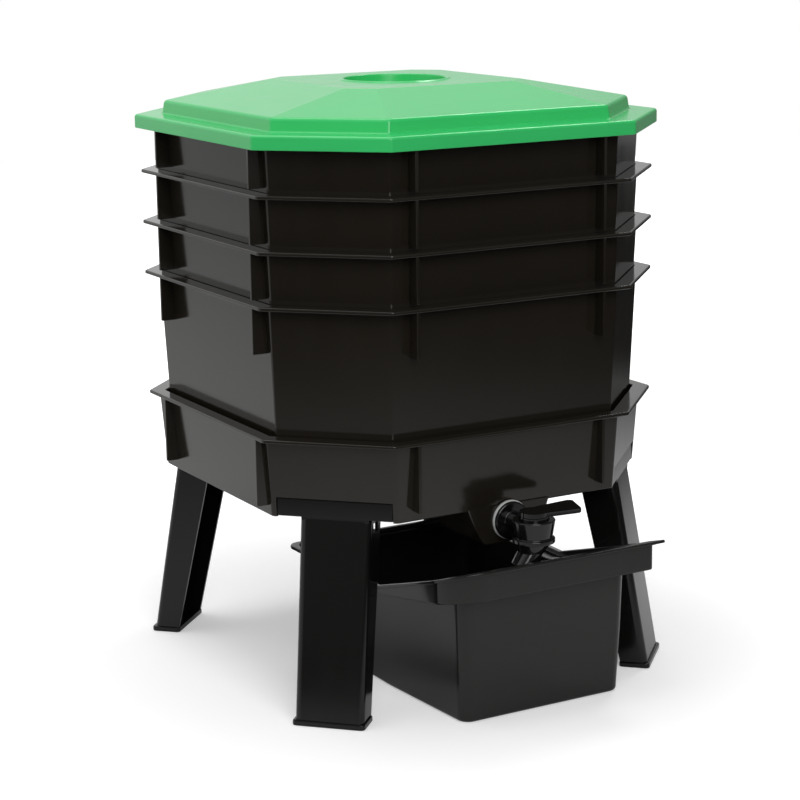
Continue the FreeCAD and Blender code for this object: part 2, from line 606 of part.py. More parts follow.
def make_strainer():
    """A slotted plate over the sump, with a rim that drops into its mouth."""
    body = new_body("drain_strainer", height=f"{BASE_UNDERSIDE} + base_floor",
                    along="sump_wall - sump_face")
    front = "(washer_thick + nut_thick + strainer_gap)"
    back = "(sump_long - 2 * sump_wall - strainer_gap)"
    mouth = "(sump_half - sump_wall - strainer_gap - base_floor)"
    plate = polygon(new_sketch(body, "plate_outline"),
                    rectangle("-1 * (sump_half + strainer_lap)", "(sump_half + strainer_lap)",
                              front, f"{back} + strainer_lap + strainer_gap"))
    pad(body, "plate", plate, "strainer_thick")
    rim = polygon(new_sketch(body, "rim_outline"),
                  rectangle(f"-1 * {mouth}", mouth, front, back))
    pad(body, "rim", rim, "strainer_tongue", flip=True)
    hollow = polygon(new_sketch(body, "rim_hollow_outline"),
                     rectangle(f"-1 * {mouth} + strainer_thick", f"{mouth} - strainer_thick",
                               f"{front} + strainer_thick", f"{back} - strainer_thick"))
    pocket(body, "rim_hollow", hollow, "strainer_tongue")
    slot = polygon(new_sketch(body, "slot_outline", offset="strainer_thick"),
                   rectangle(f"-1 * {mouth} + 2 * strainer_thick",
                             f"-1 * {mouth} + 2 * strainer_thick + strainer_slot",
                             f"{front} + 2 * strainer_thick", f"{back} - 2 * strainer_thick"))
    first = pocket(body, "first_slot", slot, "strainer_thick + cut_over")
    row = body.newObject("PartDesign::LinearPattern", "slots")
    row.Originals = [first]
    row.Direction = (slot, ["H_Axis"])
    bind(row, "Length", f"2 * {mouth} - 4 * strainer_thick - strainer_slot")
    bind(row, "Occurrences", "strainer_slots")
    body.Tip = row


def ring_body(name, along, outer, inner, thick, role="XZ_Plane", **place):
    """A washer: a ring pushed out from its plane."""
    body = new_body(name, along=along, **place)
    outline = new_sketch(body, "outline", role)
    circle(outline, outer)
    circle(outline, inner)
    pad(body, "ring", outline, thick)
    return body


TAP_AXIS = "-1 * (sump_face + tap_reach)"
HOLE = "shank_radius + hole_gap"


def revolve(body, name, sketch, kind="Revolution"):
    feature = body.newObject("PartDesign::" + kind, name)
    feature.Profile = sketch
    feature.ReferenceAxis = (sketch, ["V_Axis"])
    feature.Angle = 360
    body.Tip = feature
    return feature


def make_tap():
    """The drain tap: shank, collar and barrel, upright housing with its spout."""
    body = new_body("tap_body", height="tap_height", along=TAP_AXIS)
    profile = new_sketch(body, "housing_profile", "XZ_Plane")
    polygon(profile, [("core_radius / 2", "spout_end"), ("spout_radius - spout_taper", "spout_end"),
                      ("spout_radius", "spout_top"),
                      ("house_waist", "ring_top - ring_tall"), ("house_ring", "ring_top - ring_tall"),
                      ("house_ring", "ring_top"), ("house_waist + waist_flare", "ring_top"),
                      ("house_radius", "house_top"), ("core_radius / 2", "house_top")])
    revolve(body, "housing", profile)
    shank = circle(new_sketch(body, "shank_outline", "XZ_Plane", "-1 * tap_reach - shank_long"),
                   "shank_radius")
    pad(body, "shank", shank, "shank_long + washer_thick")
    collar = circle(new_sketch(body, "collar_outline", "XZ_Plane", "washer_thick - tap_reach"),
                    "collar_radius")
    pad(body, "collar", collar, "collar_thick")
    barrel = circle(new_sketch(body, "barrel_outline", "XZ_Plane", "washer_thick - tap_reach"),
                    "inlet_radius")
    pad(body, "barrel", barrel, "tap_reach - washer_thick - core_radius / 2")
    web = new_sketch(body, "web_outline", "YZ_Plane")
    polygon(web, [("tap_reach - washer_thick - collar_thick", "0"),
                  ("tap_reach - washer_thick - collar_thick", "-1 * inlet_radius"),
                  ("spout_radius - web_root", "spout_end + web_foot"), ("core_radius / 2", "0")])
    pad(body, "webs", web, "web_wide", both=True)
    split = new_sketch(body, "split_outline", "YZ_Plane")
    polygon(split, [("tap_reach - washer_thick - collar_thick", "-1 * inlet_radius"),
                    ("tap_reach - washer_thick - collar_thick", "spout_end"),
                    ("spout_radius - web_bite", "spout_end"),
                    ("spout_radius - web_bite", "-1 * inlet_radius")])
    pocket(body, "web_split", split, "web_wide - 2 * web_thick", both=True)
    seat = circle(new_sketch(body, "core_seat", offset="house_top"), "core_radius + core_gap")
    pocket(body, "core_seat_bore", seat, "house_top - core_foot + seat_gap")
    mouth = circle(new_sketch(body, "spout_mouth", offset="spout_end"), "spout_bore")
    pocket(body, "spout_bore", mouth, "core_foot - spout_end + cut_over", flip=True)
    inlet = circle(new_sketch(body, "inlet_mouth", "XZ_Plane", "-1 * tap_reach - shank_long"),
                   "inlet_bore")
    pocket(body, "inlet_bore_cut", inlet, "tap_reach + shank_long", flip=True)


def make_core():
    """The valve core: a plug with an elbow port, a groove for its seal and a squared stem."""
    body = new_body("tap_valve_core", height="tap_height", along=TAP_AXIS)
    top = "(house_top - seat_gap)"
    groove = "(house_top - seat_gap - 2 * ring_thick)"
    bottom_of_groove = "(core_radius - ring_thick)"
    profile = new_sketch(body, "plug_profile", "XZ_Plane")
    middle = "axis_gap"
    polygon(profile, [(middle, "core_foot"), ("core_radius", "core_foot"),
                      ("core_radius", groove), (bottom_of_groove, groove),
                      (bottom_of_groove, f"{groove} + ring_thick + 2 * ring_gap"),
                      ("core_radius", f"{groove} + ring_thick + 2 * ring_gap"),
                      ("core_radius", top), ("stem_radius", top),
                      ("stem_radius", "house_top + cap_thick + lever_gap"),
                      (middle, "house_top + cap_thick + lever_gap")])
    revolve(body, "plug", profile)
    square = polygon(new_sketch(body, "square_outline", offset="house_top + cap_thick"),
                     rectangle("-1 * stem_square", "stem_square", "-1 * stem_square", "stem_square"))
    pad(body, "square", square, "lever_gap + lever_thick - lever_skin - seat_gap")
    port = circle(new_sketch(body, "port_outline"), "inlet_bore")
    pocket(body, "down_port", port, "0 - core_foot + cut_over")
    side = circle(new_sketch(body, "side_outline", "YZ_Plane"), "port_radius")
    pocket(body, "side_port", side, "core_radius + cut_over", flip=False)


def make_tap_small_parts():
    """Sealing ring, cap, lever, washers and the nut inside the sump."""
    wall_face = "-1 * sump_face"
    ring_body("tap_outer_washer", wall_face, "washer_radius", HOLE, "washer_thick",
              height="tap_height")
    ring_body("tap_inner_washer", f"{wall_face} + sump_wall + washer_thick", "nut_half", HOLE,
              "washer_thick", height="tap_height")
    nut = new_body("tap_back_nut", height="tap_height",
                   along=f"{wall_face} + sump_wall + washer_thick + nut_thick")
    outline = new_sketch(nut, "outline", "XZ_Plane")
    corner = "(nut_half / cos(30))"
    polygon(outline, [(f"{corner} * cos({turn})", f"{corner} * sin({turn})")
                      for turn in (30, 90, 150, 210, 270, 330)])
    circle(outline, "shank_radius + ring_gap")
    pad(nut, "hexagon", outline, "nut_thick")
    ring_body("tap_cap", TAP_AXIS, "cap_radius", "stem_radius + stem_gap", "cap_thick",
              role="XY_Plane", height="tap_height + house_top")
    seal = new_body("tap_core_seal", height="tap_height + house_top - seat_gap - 2 * ring_thick",
                    along=TAP_AXIS)
    section = new_sketch(seal, "section", "XZ_Plane")
    circle(section, "ring_thick / 2", x="core_radius - ring_thick / 2 + ring_gap / 2",
           y="ring_thick / 2 + ring_gap")
    revolve(seal, "ring", section)
    lever = new_body("tap_lever", height="tap_height + house_top + cap_thick + lever_gap",
                     along=TAP_AXIS)
    hub = circle(new_sketch(lever, "hub_outline"), "lever_hub")
    pad(lever, "hub", hub, "lever_thick")
    paddle = new_sketch(lever, "paddle_outline")
    polygon(paddle, [("-1 * lever_skew", "-1 * lever_root"),
                     ("lever_long - lever_skew", "-1 * lever_half_tip"),
                     ("lever_long + lever_skew", "lever_half_tip"), ("-1 * lever_skew", "lever_root")])
    paddle_pad = pad(lever, "paddle", paddle, "lever_thick")
    DOC.recompute()
    tip = size("lever_long / 2")
    tip_edges = upright_edges(paddle_pad.Shape, lambda spot: spot.x > tip)
    round_edges(lever, "paddle_corners", paddle_pad, tip_edges, "lever_round")
    socket = polygon(new_sketch(lever, "socket_outline"),
                     rectangle("-1 * stem_square - ring_gap", "stem_square + ring_gap",
                               "-1 * stem_square - ring_gap", "stem_square + ring_gap"))
    pocket(lever, "socket", socket, "lever_thick - lever_skin", flip=True)


def plan(half, front, back, front_round, back_round, height):
    """A rounded rectangle at a height, drawn round the scuttle's own centre line."""
    x = size(half)
    low = -size(front)
    high = -size(back)
    near = size(front_round)
    far = size(back_round)
    level = size(height)
    spots = []
    edges = []
    for centre_x, centre_y, radius, start in ((x - near, low + near, near, -90),
                                              (x - far, high - far, far, 0),
                                              (-x + far, high - far, far, 90),
                                              (-x + near, low + near, near, 180)):
        arc = [FreeCAD.Vector(centre_x + radius * math.cos(math.radians(start + turn)),
                              centre_y + radius * math.sin(math.radians(start + turn)), level)
               for turn in (0, 45, 90)]
        spots.append(arc)
    for index, arc in enumerate(spots):
        edges.append(Part.Arc(*arc).toShape())
        edges.append(Part.LineSegment(arc[2], spots[(index + 1) % 4][0]).toShape())
    return Part.Wire(edges)


def side_prism(half, corners):
    """A side profile, pairs of distance to the front and height, pushed out both ways in X."""
    reach = size(half) + size("cut_past")
    spots = [FreeCAD.Vector(-reach, -size(front), size(height)) for front, height in corners]
    face = Part.Face(Part.makePolygon(spots + spots[:1]))
    return face.extrude(FreeCAD.Vector(2 * reach, 0, 0))


def make_scuttle():
    """The scuttle: a drafted tub under a wider collar whose sides rise towards the front."""

    def tub(inset, low, high):
        rings = []
        for level in (low, high):
            out = f"(({level}) * tan(bin_draft) - {inset})"
            rings.append(plan(f"bin_half + {out}", f"bin_front + {out}", f"bin_back - {out}",
                              f"bin_round - {inset}", f"bin_round - {inset}", level))
        return Part.makeLoft(rings, True, True)

    def collar(inset, profile):
        outline = plan(f"collar_half - {inset}", f"collar_front - {inset}",
                       f"collar_back + {inset}", f"collar_round - {inset}",
                       f"collar_back_round - {inset}", "0")
        prism = Part.Face(outline).extrude(FreeCAD.Vector(0, 0, size("collar_high * 2")))
        return prism.common(side_prism("collar_half", profile))

    back = "collar_back - cut_past"
    beyond = "collar_front + cut_past"
    top = [(back, "collar_low"), ("collar_turn", "collar_low + collar_rise"),
           ("collar_front", "collar_high"), (beyond, "collar_high + collar_rise")]
    low = [(back, "ledge_back"), ("collar_turn", "ledge_turn"), ("collar_front", "ledge_front"),
           (beyond, "ledge_front + collar_rise")]
    raised = [(front, f"{height} + bin_wall") for front, height in low]
    above = [(front, f"{height} + collar_high") for front, height in top]
    bead_low = [(front, f"{height} - lip_thick") for front, height in top]
    under = [(back, "0"), (beyond, "0")]
    body = collar("lip_wide", top + low[::-1])
    bead = collar("0", top + bead_low[::-1])
    below_ledge = side_prism("collar_half", raised + under[::-1])
    outside = tub("0", "0", "collar_high").common(below_ledge).fuse([body, bead])
    hollow_collar = collar("(lip_wide + bin_wall)", above + raised[::-1])
    hollow_tub = tub("bin_wall", "bin_base", "collar_high")
    scuttle = outside.cut([hollow_collar, hollow_tub]).removeSplitter()
    feature = DOC.addObject("Part::Feature", "collection_bin")
    feature.Label = "collection_bin"
    feature.Shape = scuttle
    feature.Placement = FreeCAD.Placement(FreeCAD.Vector(size("bin_x"), 0, 0), FreeCAD.Rotation())
    NODES.append(feature)


make_lid()
for tray_number in range(1, int(size("tray_count")) + 1):
    make_tray(tray_number)
make_base()
for leg_name, leg_angle in (("leg_front_left", 225), ("leg_front_right", 315),
                            ("leg_back_right", 45), ("leg_back_left", 135)):
    make_leg(leg_name, leg_angle)
make_strainer()
make_tap()
make_core()
make_tap_small_parts()
make_scuttle()
DOC.recompute()

# Nothing is written unless every object is sound
for thing in DOC.Objects:
    if "Invalid" in thing.State or "Error" in thing.State:
        raise RuntimeError(f"{thing.Name} did not build: {thing.State}")
for node in NODES:
    if node.Shape.isNull() or not node.Shape.isValid():
        raise RuntimeError(f"{node.Label} has no sound shape")

os.makedirs("parts", exist_ok=True)
for node in NODES:
    node.Shape.exportStep(f"parts/{node.Label}.step")
    box = node.Shape.BoundBox
    print(f"{node.Label}: {len(node.Shape.Solids)} solid, {node.Shape.Volume / 1000:.1f} cm3,"
          f" z {box.ZMin:.1f} to {box.ZMax:.1f}")
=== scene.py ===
import math

import bmesh
import bpy
from mathutils import Matrix, Vector


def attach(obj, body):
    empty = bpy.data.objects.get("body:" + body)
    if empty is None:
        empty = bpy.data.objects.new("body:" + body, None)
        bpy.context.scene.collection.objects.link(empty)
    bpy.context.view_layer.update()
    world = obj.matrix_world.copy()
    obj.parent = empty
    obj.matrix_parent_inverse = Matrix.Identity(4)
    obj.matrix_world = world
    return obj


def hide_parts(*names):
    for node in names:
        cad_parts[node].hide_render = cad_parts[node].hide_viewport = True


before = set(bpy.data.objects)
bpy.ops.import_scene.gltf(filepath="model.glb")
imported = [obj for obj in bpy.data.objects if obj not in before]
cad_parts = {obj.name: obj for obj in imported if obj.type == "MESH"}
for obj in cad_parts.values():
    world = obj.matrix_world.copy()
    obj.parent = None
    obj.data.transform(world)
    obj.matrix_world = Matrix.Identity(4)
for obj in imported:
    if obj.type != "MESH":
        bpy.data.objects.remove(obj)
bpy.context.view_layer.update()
bpy.context.scene.view_settings.view_transform = "Standard"

# Sizes are in millimetres and mostly the CAD source's. Some roundings are drawn a little larger, and a comment marks
# what follows the photograph instead
RIM_HALF, RIM_CUT, RIM_THICK = 210.0, 85.7, 3.5
CORNER, CORNER_IN = 4.5, 3.0
TRAY_HALF, TRAY_CUT, TRAY_DEPTH, TRAY_DRAFT = 197.6, 79.3, 161.0, 2.6
TRAY_WALL, TRAY_FLOOR, TRAY_RIB_DROP = 1.8, 2.2, 44.7
TRAY_RIMS = [376.1, 424.9, 473.7, 522.5]
RIB_THICK = 3.0
SIDE_RIBS = (87.0, -110.5)
FRONT_RIBS = (-100.0, 95.0)
POST_SIDE, POST_REACH, TRAY_POST, BASE_POST, POST_GAP = 16.0, 136.0, 48.5, 28.7, 0.3
# How far the pieces of one moulding reach into each other
POST_SINK, RIM_SINK, TRAY_RIB_SINK, BASE_RIB_SINK = 0.5, 0.3, 0.6, 0.8
SLOT_WIDE, SLOT_LONG, SLOT_ROWS, SLOT_PITCH = 5.0, 38.0, 9, 26.0
BASE_RIM, BASE_HALF, BASE_CUT, BASE_DEPTH, BASE_DRAFT = 257.7, 202.5, 85.4, 74.1, 4.0
BASE_WALL, BASE_FLOOR, MOUTH_LIP, BASE_RIB_DROP = 2.5, 2.5, 3.0, 64.4
SUMP_HALF, SUMP_TOE, SUMP_FACE, SUMP_LONG, SUMP_DROP, SUMP_WALL = 43.5, 27.0, 199.3, 74.0, 33.0, 3.0
TAP_HOLE = 10.2
LEG_TOP, LEG_FOOT, LEG_WIDE_TOP, LEG_WIDE_FOOT = 221.0, 252.5, 65.5, 64.4
LEG_DEEP_TOP, LEG_DEEP_FOOT, LEG_WALL = 36.0, 26.0, 2.8
HEAD_HALF, HEAD_TALL, HEAD_DEEP, HEAD_GAP = 53.5, 18.0, 9.5, 0.5
LEG_GAP, FOOT_TALL = 0.3, 5.0
# These follow the photograph: the channel's corner radius, a narrower foot lip, and a head plate that starts so far
# above the channel's top. So does the latch slot, which is cut twice LATCH_WIDE across and in one flange only
LEG_CORNER, FOOT_LIP, HEAD_STEP = 6.5, 1.7, 1.5
LATCH_WIDE, LATCH_TALL, LATCH_DROP = 7.0, 9.0, 4.0
LID_SEAT, LID_GAP, LID_WALL, LID_SKIRT, LID_FLANGE = 522.8, 1.5, 2.5, 9.7, 3.3
PLINTH_HALF, PLINTH_CUT, PLINTH_DRAW, PLINTH_TALL = 190.0, 75.5, 1.4, 12.4
CROWN_HALF, CROWN_CUT, CROWN_TALL, LID_SHELL = 94.0, 21.0, 18.0, 2.6
# The recess follows the photograph, with a low rim round it
GRIP_RADIUS, GRIP_DEEP, GRIP_RIM = 48.5, 8.0, 1.2
BIN_X, BIN_FRONT, BIN_BACK, BIN_HALF, BIN_ROUND, BIN_DRAFT = 9.0, 236.0, -36.0, 88.0, 11.0, 2.2
BIN_WALL, BIN_BASE, LIP = 2.6, 3.0, 3.0
COLLAR_HALF, COLLAR_BACK = 109.0, -50.0
# The collar's front follows the photograph: further forward and higher than the CAD's plain one, and tight at its
# right corner, where the lip ends in a tip. The lip also flares at the back left
COLLAR_FRONT, COLLAR_ROUNDS = 258.5, (9.0, 17.0, 38.0)
TIP_REACH, TIP_START, LIP_BAND = 11.0, 185.0, 14.0
FLARE_REACH, FLARE_START, FLARE_LONG = 6.0, 10.0, 40.0
# The front swings to the right: how far on the left and right sides, and from where on each
COLLAR_SKEW, BIN_SKEW, SKEW_START = (6.0, 8.0), (9.0, 3.0), (112.0, 180.0)
# Rim and lower edge as lines of (forward, up), after the photograph in front and at the back
BIN_RIM = [(-70.0, 103.0), (112.0, 101.0), (258.5, 146.0)]
BIN_LEDGE = [(-70.0, 97.0), (112.0, 94.0), (258.5, 118.0)]
# Where the tub's long sides bend with the rim, where its plain wall ends, and where its shoulder starts
BIN_STOPS, BIN_PLAIN, BIN_SHOULDER = (-225.0, -185.0, -112.0), 60.0, 94.0
TAP_Y, TAP_Z, TAP_REACH = -240.0, 171.5, 40.7
PADDLE_UP, PADDLE_THICK, HUB_RADIUS = 13.2, 4.0, 13.0
# These two follow the photograph
TAP_COLLAR, WASHER_RADIUS = 17.4, 18.2
THREAD_COUNT, THREAD_PITCH, THREAD_ROOT, THREAD_CREST = 11, 1.8, 9.2, 9.85
# The housing leans to the left below its barrel, and its spout more so, after the photograph
LEAN_FROM, LEAN_SHARE, SPOUT_FROM, SPOUT_SHARE = 11.0, 0.2, 17.3, 0.55
LEG_ANGLES = {"leg_front_left": 225, "leg_front_right": 315, "leg_back_right": 45, "leg_back_left": 135}

MM = 0.001
WELD = 0.0005
SHARP = 40.0
OCTAGON_STEPS, RING_STEPS, SLOT_STEPS = 5, 96, 6


def linear(red, green, blue):
    """A colour written as 0 to 255 in sRGB, as the shader wants it."""
    values = []
    for value in (red, green, blue):
        part = value / 255
        values.append(part / 12.92 if part <= 0.04045 else ((part + 0.055) / 1.055) ** 2.4)
    return (*values, 1.0)


# ---- shapes

def fillet(profile, steps=4):
    """The points of an open profile with its corners rounded. Each entry is (out, up, radius)."""
    made = []
    last = len(profile) - 1
    for index, (out, up, radius) in enumerate(profile):
        here = Vector((out, up))
        if radius == 0 or index in (0, last):
            made.append((out, up))
            continue
        before = Vector(profile[index - 1][:2]) - here
        after = Vector(profile[index + 1][:2]) - here
        half = before.angle(after) / 2
        cut = min(radius / math.tan(half), 0.48 * before.length, 0.48 * after.length)
        radius = cut * math.tan(half)
        centre = here + (before.normalized() + after.normalized()).normalized() * (radius / math.sin(half))
        start = here + before.normalized() * cut - centre
        end = here + after.normalized() * cut - centre
        sweep = math.atan2(start.cross(end), start.dot(end))
        for step in range(steps + 1):
            turn = sweep * step / steps
            spot = centre + Vector((start.x * math.cos(turn) - start.y * math.sin(turn),
                                    start.x * math.sin(turn) + start.y * math.cos(turn)))
            made.append((spot.x, spot.y))
    return made


def octagon(half, cut, radius, height):
    """A square with cut corners, each of its eight corners rounded."""
    flat = half - cut
    reach = radius / math.cos(math.radians(22.5))
    corners = [(half, flat), (flat, half), (-flat, half), (-half, flat),
               (-half, -flat), (-flat, -half), (flat, -half), (half, -flat)]
    ring = []
    for number, (x, y) in enumerate(corners):
        middle = math.radians(45 * number + 22.5)
        for step in range(OCTAGON_STEPS + 1):
            angle = math.radians(45 * (number + step / OCTAGON_STEPS))
            ring.append(Vector((x - reach * math.cos(middle) + radius * math.cos(angle),
                                y - reach * math.sin(middle) + radius * math.sin(angle), height)))
    return ring


def round_ring(radius, height, steps=RING_STEPS):
    """The points of a circle round Z."""
    angles = [2 * math.pi * step / steps for step in range(steps)]
    return [Vector((radius * math.cos(angle), radius * math.sin(angle), height)) for angle in angles]


def span(bm, outer, inner):
    """Fill between two rows of vertices, which may differ in number."""
    edges = []
    for row in (outer, inner):
        for here, following in zip(row, row[1:] + row[:1]):
            edges.append(bm.edges.get((here, following)) or bm.edges.new((here, following)))
    bmesh.ops.bridge_loops(bm, edges=edges)


def skin(bm, rings, loop=False, first=False, last=False):
    """Quads between rings of as many points each, with the ends closed where asked."""
    rows = [[bm.verts.new(spot) for spot in ring] for ring in rings]
    pairs = list(zip(rows, rows[1:] + rows[:1] if loop else rows[1:]))
    for low, high in pairs:
        count = len(low)
        for here in range(count):
            following = (here + 1) % count
            bm.faces.new((low[here], low[following], high[following], high[here]))
    if first:
        bm.faces.new(rows[0][::-1])
    if last:
        bm.faces.new(rows[-1])
    return rows


def block(bm, low, high, edge=0.4, place=None):
    """A box with rounded edges."""
    part = bmesh.new()
    corners = ((low[0], low[1]), (high[0], low[1]), (high[0], high[1]), (low[0], high[1]))
    skin(part, [[Vector((x, y, z)) for x, y in corners] for z in (low[2], high[2])], first=True, last=True)
    if edge:
        bmesh.ops.bevel(part, geom=part.edges[:], offset=edge, segments=2, profile=0.5, affect="EDGES",
                        clamp_overlap=True)
    if place is not None:
        part.transform(place)
    join(bm, part)


def join(bm, part):
    """Add one bmesh to another."""
    mesh = bpy.data.meshes.new("part")
    part.to_mesh(mesh)
    part.free()
    bm.from_mesh(mesh)
    bpy.data.meshes.remove(mesh)


def plate(bm, outlines, low, thick):
    """A flat plate from its outline and the outlines of its holes."""
    curve = bpy.data.curves.new("plate", "CURVE")
    curve.dimensions = "2D"
    curve.fill_mode = "BOTH"
    curve.extrude = thick / 2
    for outline in outlines:
        spline = curve.splines.new("POLY")
        spline.points.add(len(outline) - 1)
        for point, spot in zip(spline.points, outline):
            point.co = (spot[0], spot[1], 0, 1)
        spline.use_cyclic_u = True
    holder = bpy.data.objects.new("plate", curve)
    mesh = bpy.data.meshes.new_from_object(holder)
    mesh.transform(Matrix.Translation((0, 0, low + thick / 2)))
    bm.from_mesh(mesh)
    bpy.data.objects.remove(holder)
    bpy.data.curves.remove(curve)
    bpy.data.meshes.remove(mesh)


def stadium(x, y, long, wide):
    """A slot with round ends along X."""
    spots = []
    for side, start in ((1, -90), (-1, 90)):
        for step in range(SLOT_STEPS + 1):
            angle = math.radians(start + 180 * step / SLOT_STEPS)
            spots.append((x + side * (long - wide) / 2 + wide / 2 * math.cos(angle),
                          y + wide / 2 * math.sin(angle)))
    return spots


def rounded_box(half_x, low_y, high_y, rounds, height, steps=8, side_stops=()):
    """A rectangle with rounded corners: rounds are the front right one's, the back ones' and, where it differs, the
    front left one's. side_stops are extra points along its long sides."""
    front, back, left = (*rounds, rounds[0])[:3]
    ring = []
    corners = ((half_x - front, low_y + front, front, -90), (half_x - back, high_y - back, back, 0),
               (-half_x + back, high_y - back, back, 90), (-half_x + left, low_y + left, left, 180))
    for number, (x, y, radius, start) in enumerate(corners):
        for step in range(steps + 1):
            angle = math.radians(start + 90 * step / steps)
            ring.append(Vector((x + radius * math.cos(angle), y + radius * math.sin(angle), height)))
        if number == 0:
            ring.extend(Vector((half_x, stop, height)) for stop in side_stops)
        if number == 2:
            ring.extend(Vector((-half_x, stop, height)) for stop in reversed(side_stops))
    return ring


def lathe(bm, profile, place, steps):
    """A ring turned about Z from a closed profile of (radius, up, fillet)."""
    rings = [[place @ spot for spot in round_ring(radius, up, steps)] for radius, up in fillet(profile)]
    skin(bm, rings, loop=True)


def make_object(bm, name, material, place=None, sharp=SHARP):
    """Turn a bmesh in millimetres into a smooth-shaded object in metres."""
    bmesh.ops.remove_doubles(bm, verts=bm.verts, dist=WELD)
    bmesh.ops.recalc_face_normals(bm, faces=bm.faces)
    bm.transform(Matrix.Scale(MM, 4))
    mesh = bpy.data.meshes.new(name)
    bm.to_mesh(mesh)
    bm.free()
    mesh.shade_smooth()
    mesh.set_sharp_from_angle(angle=math.radians(sharp))
    mesh.materials.append(material)
    thing = bpy.data.objects.new(name, mesh)
    if place is not None:
        thing.matrix_world = place
    bpy.context.scene.collection.objects.link(thing)
    shade(thing)
    return thing


def shade(thing):
    """Flat faces stay flat beside their rounded edges, and sharp edges stay sharp."""
    split = thing.modifiers.new("split", "EDGE_SPLIT")
    split.use_edge_angle = False
    split.use_edge_sharp = True
    weighted = thing.modifiers.new("normals", "WEIGHTED_NORMAL")
    weighted.keep_sharp = True
    weighted.weight = 100


def carve(thing, cutters):
    """Cut boxes and other closed shapes, bmeshes in millimetres, out of an object."""
    thing.modifiers.clear()
    helpers = []
    for cutter in cutters:
        bmesh.ops.recalc_face_normals(cutter, faces=cutter.faces)
        cutter.transform(Matrix.Scale(MM, 4))
        mesh = bpy.data.meshes.new("cutter")
        cutter.to_mesh(mesh)
        cutter.free()
        helper = bpy.data.objects.new("cutter", mesh)
        helper.matrix_world = thing.matrix_world
        bpy.context.scene.collection.objects.link(helper)
        cut = thing.modifiers.new("cut", "BOOLEAN")
        cut.operation = "DIFFERENCE"
        cut.solver = "EXACT"
        cut.object = helper
        helpers.append(helper)
    bpy.context.view_layer.update()
    graph = bpy.context.evaluated_depsgraph_get()
    mesh = bpy.data.meshes.new_from_object(thing.evaluated_get(graph))
    thing.modifiers.clear()
    thing.data = mesh
    mesh.set_sharp_from_angle(angle=math.radians(SHARP))
    for helper in helpers:
        bpy.data.objects.remove(helper)
    shade(thing)
    return thing


def add(thing, bm):
    """Add closed shapes in millimetres to an object that has been carved."""
    bmesh.ops.remove_doubles(bm, verts=bm.verts, dist=WELD)
    bmesh.ops.recalc_face_normals(bm, faces=bm.faces)
    bm.transform(Matrix.Scale(MM, 4))
    bm.from_mesh(thing.data)
    bm.to_mesh(thing.data)
    bm.free()
    thing.data.shade_smooth()
    thing.data.set_sharp_from_angle(angle=math.radians(SHARP))


def box_cutter(low, high, place=None):
    """A plain box for carve()."""
    cutter = bmesh.new()
    block(cutter, low, high, edge=0, place=place)
    return cutter


# ---- finishes

def moulded_plastic(name, colour, rough, spread, grain=0.02, spec=0.5):
    """Injection moulded plastic: fine grain, faint flow marks, small differences in gloss."""
    material = bpy.data.materials.new(name)
    material.use_nodes = True
    nodes = material.node_tree.nodes
    links = material.node_tree.links
    shader = nodes["Principled BSDF"]
    shader.inputs["IOR"].default_value = 1.5
    shader.inputs["Specular IOR Level"].default_value = spec
    where = nodes.new("ShaderNodeTexCoord")

    def noise(scale, detail, stretch=None):
        field = nodes.new("ShaderNodeTexNoise")
        field.inputs["Scale"].default_value = scale
        field.inputs["Detail"].default_value = detail
        if stretch:
            mapping = nodes.new("ShaderNodeMapping")
            mapping.inputs["Scale"].default_value = stretch
            links.new(where.outputs["Object"], mapping.inputs["Vector"])
            links.new(mapping.outputs["Vector"], field.inputs["Vector"])
        else:
            links.new(where.outputs["Object"], field.inputs["Vector"])
        return field.outputs["Fac"]

    def ranged(source, low, high, start=0.3, end=0.7):
        scaled = nodes.new("ShaderNodeMapRange")
        scaled.inputs["From Min"].default_value = start
        scaled.inputs["From Max"].default_value = end
        scaled.inputs["To Min"].default_value = low
        scaled.inputs["To Max"].default_value = high
        links.new(source, scaled.inputs["Value"])
        return scaled.outputs["Result"]

    tone = nodes.new("ShaderNodeMix")
    tone.data_type = "RGBA"
    tone.inputs["A"].default_value = tuple(c * (1 - spread) for c in colour[:3]) + (1,)
    tone.inputs["B"].default_value = tuple(min(1, c * (1 + spread)) for c in colour[:3]) + (1,)
    links.new(ranged(noise(5.0, 3.0), 0.0, 1.0), tone.inputs["Factor"])
    links.new(tone.outputs["Result"], shader.inputs["Base Color"])

    # Flow marks run down the walls and light scuffs cross them; they change the gloss, not the colour
    flow = ranged(noise(9.0, 4.0, (6.0, 6.0, 0.8)), -0.02, 0.02)
    scuff = ranged(noise(60.0, 3.0), 0.0, 0.012, 0.5, 0.8)
    add_up = nodes.new("ShaderNodeMath")
    add_up.operation = "ADD"
    links.new(flow, add_up.inputs[0])
    links.new(scuff, add_up.inputs[1])
    gloss = nodes.new("ShaderNodeMath")
    gloss.operation = "ADD"
    gloss.inputs[1].default_value = rough
    links.new(add_up.outputs[0], gloss.inputs[0])
    links.new(gloss.outputs[0], shader.inputs["Roughness"])

    fine = nodes.new("ShaderNodeBump")
    fine.inputs["Strength"].default_value = grain
    fine.inputs["Distance"].default_value = 0.0002
    links.new(noise(1500.0, 2.0), fine.inputs["Height"])
    wavy = nodes.new("ShaderNodeBump")
    wavy.inputs["Strength"].default_value = 0.03
    wavy.inputs["Distance"].default_value = 0.004
    links.new(noise(7.0, 1.0), wavy.inputs["Height"])
    links.new(fine.outputs["Normal"], wavy.inputs["Normal"])
    links.new(wavy.outputs["Normal"], shader.inputs["Normal"])
    return material


